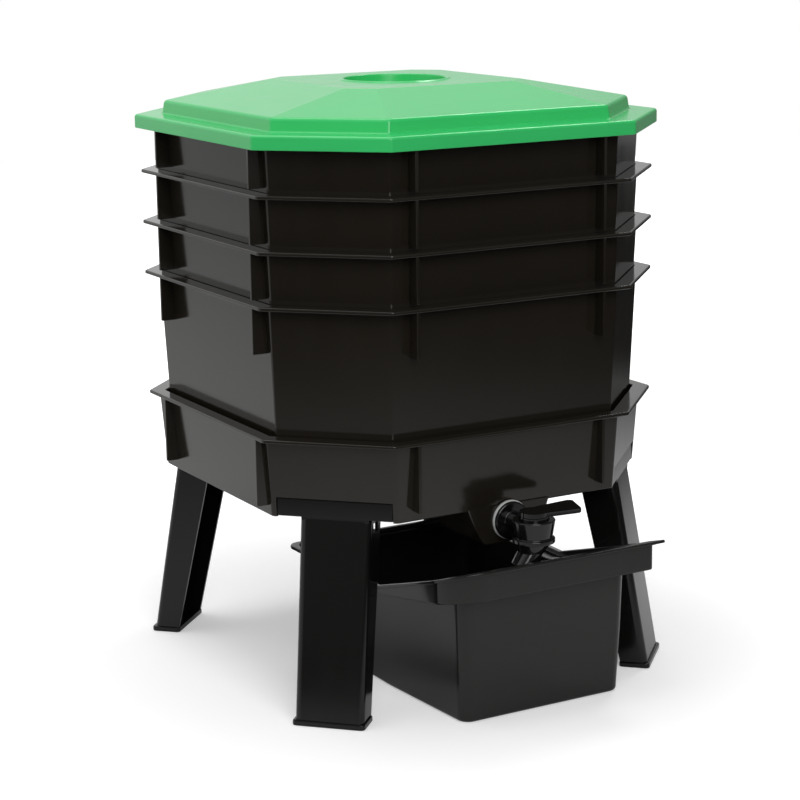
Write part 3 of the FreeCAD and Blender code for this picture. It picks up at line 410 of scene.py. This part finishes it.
LID_GREEN = moulded_plastic("lid_green_plastic", linear(50, 186, 100), 0.22, spread=0.03, grain=0.003)
BODY_BLACK = moulded_plastic("body_black_plastic", linear(29, 26, 21), 0.13, spread=0.1, spec=0.46)
LEG_BLACK = moulded_plastic("leg_black_plastic", linear(12, 12, 11), 0.15, spread=0.1, spec=0.36)
BIN_BLACK = moulded_plastic("bin_black_plastic", linear(29, 29, 28), 0.18, spread=0.1, spec=0.34)
TAP_BLACK = moulded_plastic("tap_black_plastic", linear(13, 13, 13), 0.12, spread=0.1, grain=0.01)
WASHER_GREY = moulded_plastic("washer_grey_rubber", linear(176, 178, 176), 0.5, spread=0.05)


# ---- pieces

def slope(profile_half, profile_cut, far_half, far_cut):
    """The corner cut at any half width, on a straight line through two octagons."""
    return lambda half: profile_cut + (half - profile_half) * (far_cut - profile_cut) / (far_half - profile_half)


def rib_places(inner, outer):
    """Low and high corners in plan of the two ribs on each long side."""
    for start in SIDE_RIBS:
        yield (-outer, start), (-inner, start + RIB_THICK)
        yield (inner, -start - RIB_THICK), (outer, -start)
    for start in FRONT_RIBS:
        yield (start, -outer), (start + RIB_THICK, -inner)
        yield (-start - RIB_THICK, inner), (-start, outer)


def ribs(bm, inner, drop):
    """The eight ribs under a rim, whose top is at height 0."""
    for low, high in rib_places(inner, RIM_HALF - RIM_SINK):
        block(bm, (*low, -drop), (*high, -RIM_THICK + RIM_SINK), edge=0.5)


def posts(bm, floor, top):
    """The four posts that carry the tray above."""
    half = POST_SIDE / 2
    for x in (-POST_REACH, POST_REACH):
        for y in (-POST_REACH, POST_REACH):
            block(bm, (x - half, y - half, floor - POST_SINK), (x + half, y + half, top), edge=0.8)


def build_tray():
    """A tray seen from its rim: the top of the rim is at height 0."""
    lean = math.tan(math.radians(TRAY_DRAFT))
    foot = TRAY_HALF - TRAY_DEPTH * lean
    inner = TRAY_HALF - TRAY_WALL
    inner_foot = inner - (TRAY_DEPTH - TRAY_FLOOR) * lean
    ledge = foot - 6
    profile = [(ledge, -TRAY_DEPTH, 0), (foot, -TRAY_DEPTH, 2.5),
               (TRAY_HALF - RIM_THICK * lean, -RIM_THICK, 1.0), (RIM_HALF, -RIM_THICK, 1.0),
               (RIM_HALF, 0, 1.2), (inner, 0, 1.2), (inner_foot, TRAY_FLOOR - TRAY_DEPTH, 2.0),
               (ledge, TRAY_FLOOR - TRAY_DEPTH, 0)]
    wall_cut = slope(TRAY_HALF, TRAY_CUT, foot, TRAY_CUT - (TRAY_HALF - foot) * (2 - math.sqrt(2)))
    rim_cut = slope(TRAY_HALF, TRAY_CUT, RIM_HALF, RIM_CUT)
    bm = bmesh.new()
    rings = []
    for half, up in fillet(profile):
        cut = rim_cut(half) if half > TRAY_HALF else wall_cut(half)
        rings.append(octagon(half, cut, CORNER if half > inner + 0.5 else CORNER_IN, up))
    skin(bm, rings, loop=True)
    hull = octagon(ledge + 0.4, wall_cut(ledge + 0.4), CORNER_IN, 0)
    holes = []
    for row in range(SLOT_ROWS):
        for column in (-1, 0, 1):
            holes.append(stadium(column * (SLOT_LONG + POST_SIDE), (row - (SLOT_ROWS - 1) / 2) * SLOT_PITCH,
                                 SLOT_LONG, SLOT_WIDE))
    plate(bm, [hull] + holes, 0.05 - TRAY_DEPTH, TRAY_FLOOR - 0.1)
    ribs(bm, TRAY_HALF - TRAY_RIB_DROP * lean - TRAY_RIB_SINK, TRAY_RIB_DROP)
    posts(bm, TRAY_FLOOR - TRAY_DEPTH, TRAY_POST - TRAY_DEPTH - POST_GAP)
    return bm


def build_base():
    """The collector's walls, their rim's top at height 0, without the cuts for the leg heads, and its floor's outline,
    notched for them."""
    lean = math.tan(math.radians(BASE_DRAFT))
    foot = BASE_HALF - BASE_DEPTH * lean
    inset = BASE_WALL + RIM_THICK * lean
    inner = BASE_HALF - inset
    inner_foot = inner - (BASE_DEPTH - BASE_FLOOR - RIM_THICK) * lean
    mouth = BASE_HALF - BASE_WALL - MOUTH_LIP
    ledge = foot - 8
    profile = [(ledge, -BASE_DEPTH, 0), (foot, -BASE_DEPTH, 1.2),
               (BASE_HALF - RIM_THICK * lean, -RIM_THICK, 1.0), (RIM_HALF, -RIM_THICK, 1.0),
               (RIM_HALF, 0, 1.2), (mouth, 0, 1.2), (mouth, -RIM_THICK, 0.8), (inner, -RIM_THICK, 0.4),
               (inner_foot, BASE_FLOOR - BASE_DEPTH, 2.0), (ledge, BASE_FLOOR - BASE_DEPTH, 0)]
    wall_cut = slope(BASE_HALF, BASE_CUT, foot, BASE_CUT - (BASE_HALF - foot) * (2 - math.sqrt(2)))
    rim_cut = slope(BASE_HALF, BASE_CUT, RIM_HALF, RIM_CUT)
    bm = bmesh.new()
    rings = []
    for half, up in fillet(profile):
        cut = rim_cut(half) if half > BASE_HALF else wall_cut(half)
        rings.append(octagon(half, cut, CORNER, up))
    skin(bm, rings, loop=True)
    hull = octagon(ledge + 0.4, wall_cut(ledge + 0.4), 4.0, 0)
    outline = []
    count = OCTAGON_STEPS + 1
    notch = LEG_TOP - HEAD_DEEP - HEAD_GAP - 0.4
    reach = HEAD_HALF + HEAD_GAP + 0.4
    for corner in range(4):
        turn = Matrix.Rotation(math.radians(45 + 90 * corner), 4, "Z")
        start, middle, end = (count * (2 * corner + step) for step in range(3))
        outline += hull[start:middle]
        far = (turn.inverted() @ hull[middle - 1]).x
        outline += [turn @ Vector(spot) for spot in ((far, -reach, 0), (notch, -reach, 0), (notch, reach, 0),
                                                     (far, reach, 0))]
        outline += hull[middle:end]
    return bm, outline


def sump_section(inset, y, top):
    """The sump's outline seen from the front, from its top left round to its top right."""
    side = SUMP_HALF - inset
    toe = SUMP_TOE - inset
    foot = -BASE_DEPTH - SUMP_DROP + inset
    waist = foot + (SUMP_DROP - inset) * 0.6
    narrow = (side * 2 + toe) / 3
    corner = max(6.0 - inset, 2.0)
    profile = fillet([(-side, top, 0), (-narrow, waist, 4), (-toe, foot, corner), (toe, foot, corner),
                      (narrow, waist, 4), (side, top, 0)])
    return [Vector((x, y, z)) for x, z in profile]


def make_base():
    """The collector with its four leg sockets, and the sump under its front."""
    shell, hull = build_base()
    base = make_object(shell, "collector", BODY_BLACK, raised(BASE_RIM))
    inner = LEG_TOP - HEAD_DEEP - HEAD_GAP - BASE_WALL
    reach = HEAD_HALF + HEAD_GAP
    cutters = []
    for angle in LEG_ANGLES.values():
        turn = Matrix.Rotation(math.radians(angle), 4, "Z")
        cutters.append(box_cutter((inner + BASE_WALL, -reach, -BASE_DEPTH - 5),
                                  (LEG_TOP + 12, reach, HEAD_TALL + HEAD_GAP - BASE_DEPTH), turn))
    carve(base, cutters)

    bm = bmesh.new()
    lean = math.tan(math.radians(BASE_DRAFT))
    front = -SUMP_FACE
    back = front + SUMP_LONG
    pocket = [(-SUMP_HALF + SUMP_WALL, front + SUMP_WALL), (SUMP_HALF - SUMP_WALL, front + SUMP_WALL),
              (SUMP_HALF - SUMP_WALL, back - SUMP_WALL), (-SUMP_HALF + SUMP_WALL, back - SUMP_WALL)]
    plate(bm, [hull, pocket], 0.05 - BASE_DEPTH, BASE_FLOOR - 0.1)
    ribs(bm, BASE_HALF - BASE_RIB_DROP * lean - BASE_RIB_SINK, BASE_RIB_DROP)
    posts(bm, BASE_FLOOR - BASE_DEPTH, BASE_FLOOR - BASE_DEPTH + BASE_POST)
    top = HEAD_TALL + HEAD_GAP - BASE_DEPTH
    foot = 0.4 - BASE_DEPTH
    roof = top + BASE_WALL
    wide = reach + BASE_WALL
    mouth = LEG_TOP - 3
    for angle in LEG_ANGLES.values():
        turn = Matrix.Rotation(math.radians(angle), 4, "Z")
        block(bm, (inner, -wide, foot), (inner + BASE_WALL, wide, roof), place=turn)
        block(bm, (inner, -wide, top), (mouth, wide, roof), place=turn)
        for side in (-1, 1):
            near, far = sorted((side * reach, side * wide))
            block(bm, (inner, near, foot), (mouth, far, roof), place=turn)
    add(base, bm)
    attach(base, "stand")
    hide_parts("base_collector")

    # The sump: a trough with rounded lower corners, open at the top, with the hole for the tap
    bm = bmesh.new()
    top = BASE_FLOOR - BASE_DEPTH - 0.2
    sections = ((1.2, front), (0.35, front + 0.35), (0, front + 1.2), (0, back - 1.2), (0.35, back - 0.35), (1.2, back))
    skin(bm, [sump_section(inset, y, top) for inset, y in sections], first=True, last=True)
    sump = make_object(bm, "sump", BODY_BLACK, raised(BASE_RIM))
    hollow = bmesh.new()
    skin(hollow, [sump_section(SUMP_WALL, y, top + 2) for y in (front + SUMP_WALL, back - SUMP_WALL)],
         first=True, last=True)
    hole = bmesh.new()
    across = Matrix.Translation((0, front, TAP_Z - BASE_RIM)) @ Matrix.Rotation(math.pi / 2, 4, "X")
    bmesh.ops.create_cone(hole, cap_ends=True, segments=48, radius1=TAP_HOLE, radius2=TAP_HOLE, depth=12,
                          matrix=across)
    carve(sump, [hollow, hole])
    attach(sump, "stand")


def raised(height):
    """A move up by so many millimetres, for an object in metres."""
    return Matrix.Translation((0, 0, height * MM))


def make_trays():
    """Four trays that share one mesh."""
    mesh = None
    for number, rim in enumerate(TRAY_RIMS, start=1):
        place = raised(rim)
        if mesh is None:
            tray = make_object(build_tray(), "stacking_tray_1", BODY_BLACK, place)
            mesh = tray.data
        else:
            tray = bpy.data.objects.new(f"stacking_tray_{number}", mesh)
            tray.matrix_world = place
            bpy.context.scene.collection.objects.link(tray)
            shade(tray)
        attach(tray, f"tray_{number}")
        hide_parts(f"tray_{number}")


def make_lid():
    """One closed shell: skirt, flange, faceted middle and recess above, and the same form hollowed out below."""
    outer = RIM_HALF + LID_GAP + LID_WALL
    inside = RIM_HALF + LID_GAP
    edge = PLINTH_HALF - PLINTH_DRAW
    edge_up = LID_FLANGE + PLINTH_TALL
    top = edge_up + CROWN_TALL
    spread = 2 - math.sqrt(2)
    outer_cut = RIM_CUT + (LID_GAP + LID_WALL) * spread
    facet_cut = slope(edge, PLINTH_CUT, CROWN_HALF, CROWN_CUT)
    skirt_cut = slope(PLINTH_HALF, PLINTH_CUT, outer, outer_cut)
    crease = slope(CROWN_HALF, 2.5, edge, 4.0)

    def rings(profile, shell=0.0):
        """Octagons along a profile. shell is how far inside the outer surface they run."""
        made = []
        for half, up in fillet(profile, 5):
            if half > PLINTH_HALF - shell:
                made.append(octagon(half, skirt_cut(half), CORNER, up))
            else:
                full = half + shell
                cut = PLINTH_CUT if full > edge else facet_cut(full)
                made.append(octagon(half, cut - shell * spread, crease(half), up))
        return made

    bm = bmesh.new()
    over = rings([(inside, -LID_SKIRT, 0), (outer, -LID_SKIRT, 0.9), (outer, LID_FLANGE, 2.8),
                  (PLINTH_HALF, LID_FLANGE, 2.2), (edge, edge_up, 4.0), (CROWN_HALF, top, 5.0),
                  (CROWN_HALF - 8, top, 0)])
    floor = top - GRIP_DEEP
    dish = [round_ring(out, up) for out, up in
            fillet([(GRIP_RADIUS + 8, top, 0), (GRIP_RADIUS + 5, top, 1.5), (GRIP_RADIUS + 3, top + GRIP_RIM, 1.5),
                    (GRIP_RADIUS, top + GRIP_RIM, 1.6), (GRIP_RADIUS - 0.6, floor, 2.2), (4, floor, 0)], 5)]
    span(bm, skin(bm, over)[-1], skin(bm, dish, last=True)[0])
    under = rings([(inside, -LID_SKIRT, 0), (inside, 0, 0.5), (PLINTH_HALF - LID_SHELL + 0.2, 0, 0.8)])
    under += rings([(PLINTH_HALF - LID_SHELL, 0.5, 0), (edge - LID_SHELL, edge_up - LID_SHELL, 1.5),
                    (CROWN_HALF - LID_SHELL, top - LID_SHELL, 3.0),
                    (CROWN_HALF - LID_SHELL - 8, top - LID_SHELL, 0)], LID_SHELL)
    wall = GRIP_RADIUS + LID_SHELL
    cup = [round_ring(out, up) for out, up in
           fillet([(wall + 3, top - LID_SHELL, 0), (wall, top - LID_SHELL, 0.8), (wall, floor - LID_SHELL, 1.0),
                   (4, floor - LID_SHELL, 0)])]
    span(bm, skin(bm, under)[-1], skin(bm, cup, last=True)[0])
    lid = make_object(bm, "lid_cover", LID_GREEN, raised(LID_SEAT), sharp=60)
    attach(lid, "lid")
    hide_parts("lid")


def leg_section(reach, deep, half, height):
    """The channel seen from above: outer wall towards +X, open towards the stack."""
    near = reach - deep
    outside = fillet([(near, -half, 0), (reach, -half, LEG_CORNER), (reach, half, LEG_CORNER), (near, half, 0)])
    wall, side, corner = reach - LEG_WALL, half - LEG_WALL, LEG_CORNER - LEG_WALL
    inside = fillet([(near, side, 0), (wall, side, corner), (wall, -side, corner), (near, -side, 0)])
    return [Vector((x, y, height)) for x, y in outside + inside]


def leg_channel():
    """The drafted channel of a leg that points along +X."""
    top = BASE_RIM - BASE_DEPTH - LEG_GAP
    bm = bmesh.new()
    rings = []
    for share in (0.0, 1.0):
        rings.append(leg_section(LEG_FOOT + (LEG_TOP - LEG_FOOT) * share,
                                 LEG_DEEP_FOOT + (LEG_DEEP_TOP - LEG_DEEP_FOOT) * share,
                                 (LEG_WIDE_FOOT + (LEG_WIDE_TOP - LEG_WIDE_FOOT) * share) / 2,
                                 1.0 + (top - 1.0) * share))
    skin(bm, rings, first=True, last=True)
    return bm


def leg_ends():
    """The foot, a low rounded lip closed underneath, and the head, a shallow cap open at its back."""
    top = BASE_RIM - BASE_DEPTH - LEG_GAP
    bm = bmesh.new()
    half = LEG_WIDE_FOOT / 2 + FOOT_LIP
    near = LEG_FOOT - LEG_DEEP_FOOT - FOOT_LIP
    far = LEG_FOOT + FOOT_LIP
    lip = []
    inside = FOOT_LIP + LEG_WALL
    for inset, height in ((0.8, 0.0), (0.25, 0.25), (0.0, 0.8), (0.0, FOOT_TALL - 1.2), (0.35, FOOT_TALL - 0.35),
                          (1.2, FOOT_TALL), (inside + 0.2, FOOT_TALL), (inside + 0.4, FOOT_TALL - 2)):
        ring = rounded_box(half - inset, near + inset, far - inset, (3.0, 4.0), height, steps=5)
        lip.append([Vector((spot.y, spot.x, spot.z)) for spot in ring])
    skin(bm, lip, first=True, last=True)
    shelf = top + HEAD_STEP
    head = top + HEAD_TALL
    back = LEG_TOP - HEAD_DEEP
    block(bm, (LEG_TOP - LEG_WALL, -HEAD_HALF, shelf), (LEG_TOP, HEAD_HALF, head), edge=0.9)
    neck = LEG_WIDE_TOP / 2 - 1.5
    block(bm, (LEG_TOP - LEG_WALL, -neck, top - 1.5), (LEG_TOP - 0.2, neck, shelf + 1.5), edge=0.3)
    block(bm, (back, -HEAD_HALF, head - LEG_WALL), (LEG_TOP - 0.5, HEAD_HALF, head - 0.01), edge=0.5)
    for side in (-1, 1):
        low, high = sorted((side * HEAD_HALF, side * (HEAD_HALF - LEG_WALL)))
        block(bm, (back, low, shelf), (LEG_TOP - 0.5, high, head - 0.02), edge=0.5)
    return bm


def make_legs():
    """Four legs, each with its latch slot, turned to its corner."""
    slot_x = LEG_TOP - LEG_DEEP_TOP / 2
    slot_z = BASE_RIM - BASE_DEPTH - LEG_GAP - LATCH_DROP - LATCH_TALL
    cutter = (slot_x - LATCH_WIDE, 0, slot_z), (slot_x + LATCH_WIDE, 60, slot_z + LATCH_TALL)
    for node, angle in LEG_ANGLES.items():
        leg = make_object(leg_channel(), node.replace("leg", "support"), LEG_BLACK)
        carve(leg, [box_cutter(*cutter)])
        add(leg, leg_ends())
        leg.data.transform(Matrix.Rotation(math.radians(angle), 4, "Z"))
        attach(leg, "stand")
        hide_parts(node)


def level(points, front):
    """The height of a line through (front, height) points."""
    for (near, low), (far, high) in zip(points, points[1:]):
        if front <= far:
            break
    return low + (high - low) * (front - near) / (far - near)


def make_bin():
    """The scuttle: a drafted tub under a wider collar whose rim climbs towards the front."""
    lean = math.tan(math.radians(BIN_DRAFT))

    def sway(spots, shifts):
        """The front swings to the right."""
        for spot in spots:
            side = 0 if spot.x < 0 else 1
            start = SKEW_START[side]
            spot.x += shifts[side] * max(-spot.y - start, 0) / (COLLAR_FRONT - start)

    def tub(grow, height, line=None):
        """The tub's outline, grown by so much, at a height or at that height over a line."""
        radius = BIN_ROUND + min(grow, 0)
        spots = rounded_box(BIN_HALF + grow, -BIN_FRONT - grow, -BIN_BACK + grow, (radius, radius), height,
                            side_stops=BIN_STOPS)
        if line:
            for spot in spots:
                spot.z = level(line, -spot.y) + height
        sway(spots, BIN_SKEW)
        return spots

    def outline(inset):
        return rounded_box(COLLAR_HALF - inset, -COLLAR_FRONT + inset, -COLLAR_BACK - inset,
                           [max(radius - inset, 2.0) for radius in COLLAR_ROUNDS], 0, side_stops=BIN_STOPS)

    def collar(inset, height, line):
        """The collar's outline, level across at a height over a line."""
        spots = outline(inset)
        for spot, edge in zip(spots, outline(0)):
            spot.z = level(line, -edge.y) + height
            if inset < LIP:
                # The lip widens to a tip at the front right corner and flares at the back left one
                share = max(-spot.y - TIP_START, 0) / (COLLAR_FRONT - TIP_START)
                if spot.x > COLLAR_HALF - LIP_BAND:
                    spot.x += TIP_REACH * share * share
                if spot.x < -COLLAR_HALF + LIP_BAND and spot.y > FLARE_START:
                    spot.x -= FLARE_REACH * ((spot.y - FLARE_START) / FLARE_LONG) ** 2
        sway(spots, COLLAR_SKEW)
        return spots

    body = LIP + BIN_WALL
    # Up the outside of the tub and out to the collar
    rings = [tub(out, up) for out, up in fillet([(-8, 0, 0), (0, 0, 3.5), (BIN_PLAIN * lean, BIN_PLAIN, 0)], 5)]
    rings.append(tub((BIN_SHOULDER - 2) * lean, -2.2, BIN_LEDGE))
    rings.append(tub((BIN_SHOULDER - 1) * lean + 0.5, -0.6, BIN_LEDGE))
    rings.append(tub(BIN_SHOULDER * lean + 2.0, 0.0, BIN_LEDGE))
    rings += [collar(inset, up, BIN_LEDGE) for inset, up in ((LIP + 2.0, 0.0), (LIP + 0.6, 0.6), (LIP, 2.0))]
    # Round the lip
    rings += [collar(inset, up, BIN_RIM) for inset, up in
              ((LIP, -LIP - 0.9), (LIP - 0.25, -LIP - 0.25), (LIP - 0.9, -LIP), (0.7, -LIP), (0.2, -LIP + 0.2),
               (0.0, -LIP + 0.7), (0.0, -1.1), (0.33, -0.33), (1.1, 0.0), (body - 1.0, 0.0), (body - 0.3, -0.3),
               (body, -1.0))]
    # Down the inside to the tub's floor
    rings += [collar(inset, up, BIN_LEDGE) for inset, up in
              ((body, BIN_WALL + 1.5), (body + 0.5, BIN_WALL + 0.4), (body + 1.5, BIN_WALL))]
    rings.append(tub((BIN_SHOULDER + 2) * lean - BIN_WALL + 1.2, BIN_WALL, BIN_LEDGE))
    rings.append(tub((BIN_SHOULDER + 1) * lean - BIN_WALL + 0.3, BIN_WALL - 0.4, BIN_LEDGE))
    rings.append(tub(BIN_SHOULDER * lean - BIN_WALL, BIN_WALL - 1.4, BIN_LEDGE))
    rings += [tub(out - BIN_WALL, up) for out, up in
              fillet([(BIN_PLAIN * lean, BIN_PLAIN, 0), (0, BIN_BASE, 3.0), (-8, BIN_BASE, 0)], 5)]
    bm = bmesh.new()
    skin(bm, rings, first=True, last=True)
    bm.transform(Matrix.Translation((BIN_X, 0, 0)))
    scuttle = make_object(bm, "scuttle", BIN_BLACK)
    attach(scuttle, "bin")
    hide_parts("collection_bin")


def prism(bm, corners, near, far, edge, turn):
    """An outline pushed out along Z from near to far, its end edges rounded, then turned."""
    part = bmesh.new()
    skin(part, [[Vector((x, y, near)) for x, y in corners], [Vector((x, y, far)) for x, y in corners]],
         first=True, last=True)
    ends = [e for e in part.edges if abs(e.verts[0].co.z - e.verts[1].co.z) < 1e-6]
    bmesh.ops.bevel(part, geom=ends, offset=edge, segments=3, profile=0.5, affect="EDGES", clamp_overlap=True)
    part.transform(turn)
    join(bm, part)


def make_tap():
    """The drain tap: shank and collar, barrel on two webs, upright housing, paddle lever."""
    axis = Matrix.Translation((0, TAP_Y, TAP_Z))
    wall = Matrix.Translation((0, -SUMP_FACE, TAP_Z)) @ Matrix.Rotation(math.pi / 2, 4, "X")
    bm = bmesh.new()
    lathe(bm, [(8, -28, 0), (8.6, -29, 0.3), (11.3, -29, 0.5), (12, -19.5, 0.6), (16, -11, 0.8), (19.2, -11, 0.8),
               (19.2, -7, 0.8), (16.6, -7, 0.7), (19.5, 10, 0.9), (13.9, 10, 0.3), (13.9, 9.2, 0), (10.1, 9.2, 0),
               (10.1, -17.3, 0), (8, -17.3, 0)], axis, steps=72)
    for spot in bm.verts:
        drop = TAP_Z - spot.co.z
        spot.co.x -= LEAN_SHARE * max(drop - LEAN_FROM, 0) + SPOUT_SHARE * max(drop - SPOUT_FROM, 0)
    # The shank behind the wall, its thread, the collar in front of it and the barrel
    shank = [(5, -21, 0), (THREAD_ROOT, -21, 0.4)]
    for number in range(THREAD_COUNT):
        shank += [(THREAD_ROOT, -20.2 + THREAD_PITCH * number, 0), (THREAD_CREST, -19.3 + THREAD_PITCH * number, 0.15)]
    shank += [(THREAD_ROOT, -0.8, 0), (THREAD_CREST, 0.2, 0.2), (THREAD_CREST, 2.9, 0), (TAP_COLLAR, 3, 0.4),
              (TAP_COLLAR, 6.5, 1.4), (8.5, 6.5, 1.2), (8.5, TAP_REACH - 11, 0), (5, TAP_REACH - 11, 0)]
    lathe(bm, shank, wall, steps=64)
    side = axis @ Matrix(((0, 0, 1, 0), (1, 0, 0, 0), (0, 1, 0, 0), (0, 0, 0, 1)))
    web = [(34.3, 0), (34.3, -8.5), (10.5, -21), (8, -8)]
    for low, high in ((-6.8, -4.0), (4.0, 6.8)):
        prism(bm, web, low, high, edge=0.5, turn=side)
    body = make_object(bm, "tap_housing", TAP_BLACK)
    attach(body, "stand")
    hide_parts("tap_body")

    bm = bmesh.new()
    hub = [(HUB_RADIUS * math.cos(math.radians(angle)), HUB_RADIUS * math.sin(math.radians(angle)))
           for angle in range(56, 305, 6)]
    paddle = fillet([(hub[-1][0], hub[-1][1], 0), (41, -16, 3.0), (51, 16, 3.0), (hub[0][0], hub[0][1], 0)], 6)
    prism(bm, hub + paddle[1:-1], 0.0, PADDLE_THICK, edge=0.9,
          turn=Matrix.Translation((0, TAP_Y, TAP_Z + PADDLE_UP)))
    lever = make_object(bm, "tap_paddle", TAP_BLACK)
    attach(lever, "tap_valve")
    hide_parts("tap_lever")

    bm = bmesh.new()
    lathe(bm, [(10.3, 0, 0.3), (WASHER_RADIUS, 0, 0.6), (WASHER_RADIUS, 3, 1.2), (10.3, 3, 0.3), (10.3, 1.5, 0)], wall,
          steps=72)
    washer = make_object(bm, "tap_seal_washer", WASHER_GREY)
    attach(washer, "stand")
    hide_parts("tap_outer_washer")


# ---- stage

def make_camera():
    """The photograph's view: from the front left and a little above."""
    azimuth, elevation, roll = math.radians(-29.66), math.radians(12.61), math.radians(-0.75)
    back = Vector((math.sin(azimuth) * math.cos(elevation), -math.cos(azimuth) * math.cos(elevation),
                   math.sin(elevation)))
    right = (-back).cross(Vector((0, 0, 1))).normalized()
    up = right.cross(-back)
    side = math.cos(roll) * right + math.sin(roll) * up
    above = -math.sin(roll) * right + math.cos(roll) * up
    data = bpy.data.cameras.new("camera")
    data.sensor_width = 36
    data.lens = 98.46
    camera = bpy.data.objects.new("camera", data)
    bpy.context.scene.collection.objects.link(camera)
    pose = Matrix((side, above, back)).transposed().to_4x4()
    pose.translation = Vector((0.00324, 0.00365, 0.24368)) + back * 2.14366
    camera.matrix_world = pose
    bpy.context.scene.camera = camera


def smooth_range(tree, source, start, end, low, high):
    """A soft step: low up to start, high from end on."""
    step = tree.nodes.new("ShaderNodeMapRange")
    step.interpolation_type = "SMOOTHSTEP"
    for socket, value in (("From Min", start), ("From Max", end), ("To Min", low), ("To Max", high)):
        step.inputs[socket].default_value = value
    tree.links.new(source, step.inputs["Value"])
    return step.outputs["Result"]


def two_inputs(tree, kind, operation, first, second):
    """The result of a math node on two sources."""
    node = tree.nodes.new(kind)
    node.operation = operation
    tree.links.new(first, node.inputs[0])
    tree.links.new(second, node.inputs[1])
    return node.outputs[0]


def along(tree, source, direction):
    """How far a place or direction lies along another."""
    node = tree.nodes.new("ShaderNodeVectorMath")
    node.operation = "DOT_PRODUCT"
    node.inputs[1].default_value = direction
    tree.links.new(source, node.inputs[0])
    return node.outputs["Value"]


def make_floor():
    """A round pale floor, which turns white to the camera away from the object."""
    bm = bmesh.new()
    bmesh.ops.create_circle(bm, cap_ends=True, segments=96, radius=4.0)
    mesh = bpy.data.meshes.new("floor")
    bm.to_mesh(mesh)
    bm.free()
    floor = bpy.data.objects.new("floor", mesh)
    floor.location = (0, 0.5, -0.0002)
    bpy.context.scene.collection.objects.link(floor)
    pale = bpy.data.materials.new("floor_pale")
    pale.use_nodes = True
    tree = pale.node_tree
    nodes, links = tree.nodes, tree.links
    surface = nodes["Principled BSDF"]
    surface.inputs["Roughness"].default_value = 0.9
    surface.inputs["Specular IOR Level"].default_value = 0.0
    place = nodes.new("ShaderNodeNewGeometry").outputs["Position"]
    length = nodes.new("ShaderNodeVectorMath")
    length.operation = "LENGTH"
    links.new(place, length.inputs[0])
    away = length.outputs["Value"]

    # Pale round the object and behind it, darker far in front, where the walls mirror it: painted light behind and
    # painted shade in front, put in the floor's colour for the walls to reflect
    near = smooth_range(tree, away, 0.2, 1.5, 0.76, 0.02)
    # Painted light: the floor's colour is raised behind the object and to its left, so the walls reflect it as a bright
    # room
    painted_light_behind = smooth_range(tree, along(tree, place, (-0.5, 0.866, 0.0)), 0.1, 0.7, 0.0, 0.8)
    links.new(two_inputs(tree, "ShaderNodeMath", "MAXIMUM", near, painted_light_behind), surface.inputs["Base Color"])

    # To the camera alone it fades to white, so that it meets the background without an edge
    lift = nodes.new("ShaderNodeEmission")
    lift.inputs["Color"].default_value = (1, 1, 1, 1)
    fade = smooth_range(tree, away, 0.25, 0.8, 0.3, 1.0)
    seen = nodes.new("ShaderNodeLightPath").outputs["Is Camera Ray"]
    links.new(two_inputs(tree, "ShaderNodeMath", "MULTIPLY", seen, fade), lift.inputs["Strength"])
    both = nodes.new("ShaderNodeAddShader")
    links.new(surface.outputs[0], both.inputs[0])
    links.new(lift.outputs[0], both.inputs[1])
    links.new(both.outputs[0], nodes["Material Output"].inputs["Surface"])
    mesh.materials.append(pale)


def make_world():
    """White to the camera. As light, bright behind the object and to its left, and dim in front."""
    world = bpy.data.worlds.new("studio")
    bpy.context.scene.world = world
    world.use_nodes = True
    tree = world.node_tree
    nodes, links = tree.nodes, tree.links
    nodes.clear()
    light = nodes.new("ShaderNodeBackground")
    light.inputs["Color"].default_value = (1, 1, 1, 1)
    direction = nodes.new("ShaderNodeTexCoord").outputs["Generated"]
    links.new(smooth_range(tree, along(tree, direction, (-0.5, 0.866, 0.4)), 0.0, 0.8, 0.18, 0.92),
              light.inputs["Strength"])
    white = nodes.new("ShaderNodeBackground")
    white.inputs["Color"].default_value = (1, 1, 1, 1)
    white.inputs["Strength"].default_value = 1.0
    mix = nodes.new("ShaderNodeMixShader")
    links.new(nodes.new("ShaderNodeLightPath").outputs["Is Camera Ray"], mix.inputs["Fac"])
    links.new(light.outputs[0], mix.inputs[1])
    links.new(white.outputs[0], mix.inputs[2])
    links.new(mix.outputs[0], nodes.new("ShaderNodeOutputWorld").inputs["Surface"])


def softbox(name, spot, aim, size, watts):
    """A round lamp, its width in metres."""
    lamp = bpy.data.lights.new(name, "AREA")
    lamp.shape = "DISK"
    lamp.size = size
    lamp.energy = watts
    holder = bpy.data.objects.new(name, lamp)
    holder.location = spot
    holder.rotation_mode = "QUATERNION"
    holder.rotation_quaternion = (Vector(aim) - Vector(spot)).to_track_quat("-Z", "Y")
    bpy.context.scene.collection.objects.link(holder)


SLOTS = {"lid_green": LID_GREEN, "body_black": BODY_BLACK, "leg_black": LEG_BLACK, "bin_black": BIN_BLACK,
         "tap_black": TAP_BLACK, "washer_grey": WASHER_GREY}
NODE_SLOT = {"collection_bin": "bin_black", "drain_strainer": "body_black", "tap_outer_washer": "washer_grey",
             "tap_inner_washer": "washer_grey", "base_collector": "body_black", "lid": "lid_green"}
for name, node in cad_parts.items():
    slot_name = NODE_SLOT.get(name) or ("leg_black" if name.startswith("leg") else
                                        "tap_black" if name.startswith("tap") else "body_black")
    node.data.materials.clear()
    node.data.materials.append(SLOTS[slot_name])

make_camera()
make_floor()
make_world()
softbox("key", (-0.7, -2.4, 1.8), (0, 0, 0.3), 2.2, 54)
softbox("top", (-0.2, 0.3, 2.8), (0, 0.1, 0.4), 1.8, 18)
softbox("edge", (1.3, 0.7, 2.3), (0, 0, 0.3), 0.6, 9)
make_trays()
make_base()
make_lid()
make_legs()
make_bin()
make_tap()
